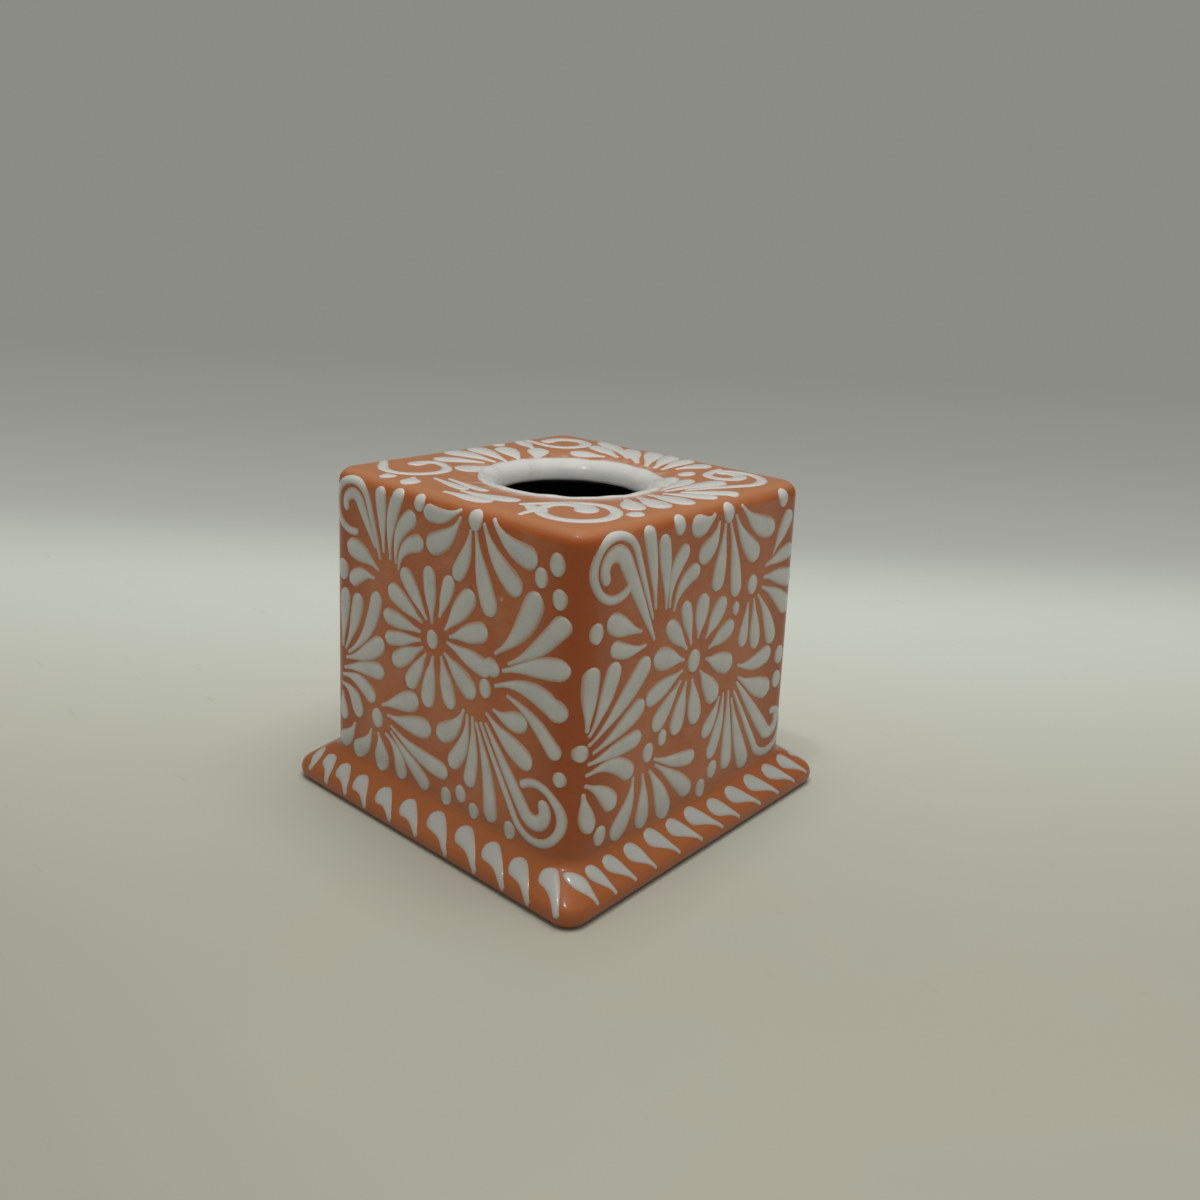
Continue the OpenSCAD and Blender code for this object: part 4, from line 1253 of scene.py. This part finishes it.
@dataclass(frozen=True)
class SlipGlaze(Finish):
    """Cool white slip under the same glaze, through which the clay shows where it is thin.

    Each band says at which heights in metres a colour sets in and is full.
    """

    name: str = "white_slip_glaze"
    slot: str = "slip"
    thick: Colour = (0.595, 0.585, 0.545)
    cool: Colour = (0.54, 0.548, 0.52)
    low: Colour = (0.425, 0.42, 0.38)
    # painted sheen: the slip is whiter on the level top, in place of the glaze's reflection
    top_sheen_white: Colour = (0.72, 0.71, 0.665)
    thin: Colour = (0.47, 0.27, 0.165)
    skirt_band: Band = (0.030, 0.017)
    top_sheen_band: Band = (0.1315, 0.1385)

    def mix(self, r: Recipe) -> bpy.types.Material:
        """Mixes the glaze.

        The colour goes over from thin to thick with the height of the slip, and drifts a little. It is
        greyest on the skirt, and whitest on the top, where the extra white is a painted sheen.

        Args:
            r: An empty recipe.

        Returns:
            The material.
        """
        point = r.place()
        height = r.parts(point)[2]
        cloud, grain = r.noise(point, 110, 3), r.noise(point, 1300, 3)
        colour = r.blend(cloud.step(0.38, 0.66), self.cool, self.thick)
        colour = r.blend((r.share() + 0.16 * (cloud - 0.5)).step(0.06, 0.72), self.thin, colour)
        # the last coat is the painted sheen of the top
        colour = r.coated(colour, (grain.step(0.62, 0.78) * 0.22, self.thin),
                          (height.step(*self.skirt_band) * 0.7, self.low),
                          (height.step(*self.top_sheen_band) * 0.85, self.top_sheen_white))
        normal = r.bump(grain * 0.4 + cloud, 0.25, 0.0002)
        rough = 0.18 + 0.14 * cloud + 0.08 * grain
        return r.finish(r.shader({"Base Color": colour, "Roughness": rough, "Normal": normal,
                                  "Coat Weight": 0.45, "Coat Roughness": 0.1,
                                  "Specular IOR Level": 0.5}))


@dataclass(frozen=True)
class TablePaper(Finish):
    """Pale greenish cream of the table, with painted shade towards the front and painted light further
    back, which goes over to a grey backdrop behind the cover.

    Each band says where a colour sets in and where it is full: front_shade along y, and the others along
    back_way, the level way away from the camera, all in metres from the middle of the cover. Stops are
    places along the way from grey_start over grey_length, with the backdrop's colour at each.
    """

    name: str = "table_paper"
    cream: Colour = (0.447, 0.45, 0.366)
    warm: Colour = (0.463, 0.447, 0.36)
    # painted light: the paper grows lighter further behind the cover
    far_light: Colour = (0.71, 0.745, 0.66)
    # painted shade: the paper darkens towards the front
    front_shade: Colour = (0.385, 0.38, 0.298)
    scuff: Colour = (0.36, 0.335, 0.26)
    back_way: tuple[float, float] = (-0.6495, 0.7604)
    front_shade_band: Band = (-0.15, -0.32)
    far_light_band: Band = (-0.16, 0.32)
    backdrop_band: Band = (0.22, 0.42)
    grey_start: float = 0.34
    grey_length: float = 2.2
    stops: tuple[tuple[float, Colour], ...] = (
        (0.0, (0.45, 0.465, 0.42)), (0.05, (0.376, 0.388, 0.35)), (0.136, (0.33, 0.34, 0.305)),
        (0.25, (0.292, 0.298, 0.268)), (0.62, (0.257, 0.262, 0.233)))
    brushing: Colour = (1.0, 7.0, 1.0)

    def mix(self, r: Recipe) -> bpy.types.Material:
        """Mixes the paper.

        How far a point lies behind the cover is its dot product with back_way. Over backdrop_band the lit
        paper goes over to a backdrop colour that only the camera sees, and that greys with the distance.

        Args:
            r: An empty recipe.

        Returns:
            The material.
        """
        point = r.place()
        x, y = r.parts(point)[:2]
        behind = x * self.back_way[0] + y * self.back_way[1]
        scratch = r.noise(r.place(self.brushing), 30, 5)
        # painted shade towards the front and painted light further back; the warm patches and scuffs are the
        # paper's own
        colour = r.coated(self.cream, (r.noise(point, 7, 4).step(0.38, 0.62), self.warm),
                          (y.step(*self.front_shade_band), self.front_shade), (behind.step(*self.far_light_band), self.far_light),
                          (scratch.step(0.66, 0.74) * 0.2, self.scuff))
        normal = r.bump(r.noise(point, 300, 3), 0.1, 0.0003)
        lit = r.shader({"Base Color": colour, "Roughness": 0.6, "Normal": normal, "Specular IOR Level": 0.2})
        far = (behind - self.grey_start) / self.grey_length
        grey = r.node("ShaderNodeValToRGB", {"stops": self.stops}, {0: far})
        seen = r.node("ShaderNodeEmission", {}, {"Color": grey, "Strength": 1.0})
        ray = r.node("ShaderNodeLightPath", {}, {}, "Is Camera Ray")
        mixed = {0: behind.step(*self.backdrop_band) * ray, 1: lit, 2: seen}
        return r.finish(r.node("ShaderNodeMixShader", {}, mixed))


@dataclass(frozen=True)
class Lamp:
    """A square lamp that faces the middle of the cover, with its place, side and power in metres and watts.

    Mirrored says whether the glaze shows its reflection.
    """

    name: str
    at: Colour
    size: float
    power: float
    mirrored: bool
    aim: Colour = (0.0, 0.0, 0.07)

    def hang(self) -> bpy.types.Object:
        """Adds the lamp to the scene.

        Returns:
            The lamp.
        """
        data = bpy.data.lights.new(self.name, "AREA")
        data.shape, data.size, data.energy = "SQUARE", self.size, self.power
        made = bpy.data.objects.new(self.name, data)
        made.location = self.at
        made.rotation_euler = (Vector(self.aim) - Vector(self.at)).to_track_quat("-Z", "Y").to_euler()
        made.visible_glossy = self.mirrored
        bpy.context.scene.collection.objects.link(made)
        return made


@dataclass
class Studio:
    """The table, the soft light from above and the camera at the photograph's angle."""

    camera_at: Colour = (0.288884, -0.316603, 0.229398)
    right: Colour = (0.74966, 0.66022, 0.04616)
    up: Colour = (-0.24437, 0.21131, 0.94638)
    forward: Colour = (-0.61506, 0.72074, -0.31975)
    lens: float = 31.782
    film: float = 36.0
    clipping: Band = (0.01, 50.0)
    sky: Colour = (1.0, 1.0, 0.97)
    sky_strength: float = 0.328
    mirrored: Colour = (0.09, 0.087, 0.078)
    backdrop: Colour = (0.257, 0.262, 0.233)
    lamps: Sequence[Lamp] = (Lamp("soft_overhead", (0.16, 0.02, 1.5), 1.0, 12.4, False),
                             Lamp("spark", (0.05, -0.35, 1.3), 0.07, 1.8, True))
    table_half: float = 4000.0
    table_points: int = 24
    paper: TablePaper = field(default_factory=TablePaper)

    def table(self) -> bpy.types.Object:
        """The table top: a fine grid that stays level, z = 0.

        Returns:
            The stage object.
        """
        count = self.table_points
        side = np.linspace(-self.table_half, self.table_half, count)
        x, y = np.meshgrid(side, side)
        points = np.stack([x, y, np.zeros_like(x)], axis=-1).reshape(-1, 3)
        quads = grid_quads(count, count, closed_cols=False)
        piece = make_piece("table_top", points, [quads], np.zeros(len(points)))
        piece.data.materials.append(self.paper.material())
        return piece

    def light(self) -> None:
        """Hangs the lamps and sets an even sky, of which the camera and the glaze see other colours."""
        world = bpy.data.worlds.new("even_sky")
        world.use_nodes = True
        tree = world.node_tree
        sky = tree.nodes["Background"]
        sky.inputs[0].default_value = (*self.sky, 1.0)
        sky.inputs[1].default_value = self.sky_strength
        ray, last = tree.nodes.new("ShaderNodeLightPath"), sky
        for kind, colour in (("Is Glossy Ray", self.mirrored), ("Is Camera Ray", self.backdrop)):
            seen, mix = (tree.nodes.new(name) for name in ("ShaderNodeBackground", "ShaderNodeMixShader"))
            seen.inputs[0].default_value = (*colour, 1.0)
            for output, target in ((ray.outputs[kind], 0), (last.outputs[0], 1), (seen.outputs[0], 2)):
                tree.links.new(output, mix.inputs[target])
            last = mix
        tree.links.new(last.outputs[0], tree.nodes["World Output"].inputs[0])
        bpy.context.scene.world = world
        for lamp in self.lamps:
            lamp.hang()

    def camera(self) -> bpy.types.Object:
        """Returns the camera, whose axes are the columns right, up and -forward."""
        data = bpy.data.cameras.new("photo_view")
        data.lens, data.sensor_width = self.lens, self.film
        data.clip_start, data.clip_end = self.clipping
        made = bpy.data.objects.new("photo_view", data)
        turn = Matrix([self.right, self.up, [-v for v in self.forward]]).transposed()
        made.matrix_world = Matrix.Translation(self.camera_at) @ turn.to_4x4()
        bpy.context.scene.collection.objects.link(made)
        bpy.context.scene.camera = made
        return made


def main() -> None:
    """Builds the cover piece by piece, then the studio round it."""
    logging.basicConfig(level=logging.INFO, format="%(name)s: %(message)s")
    bpy.context.scene.view_settings.view_transform = "Standard"
    clay, slip = ClayGlaze(), SlipGlaze()
    parts: list[tuple[Part, Finish]] = [(Shell(), clay), (LipSlip(), slip)]
    parts += [(layer, slip) for layer in TopPattern().layers()]
    for side in Side:
        facing = side in (Side.FRONT, Side.BACK)
        tables, skirt_drop = (FACE_A, SkirtDrop.FULL) if facing else (FACE_B, SkirtDrop.SLIM)
        parts += [(layer, slip) for layer in SidePattern(side, *tables, skirt_drop).layers()]
    for part, finish in parts:
        piece = part.build()
        part.dress(piece, finish)
        log.info("%s: %d faces", piece.name, len(piece.data.polygons))
    studio = Studio()
    studio.table()
    studio.light()
    studio.camera()


if __name__ == "__main__":
    main()
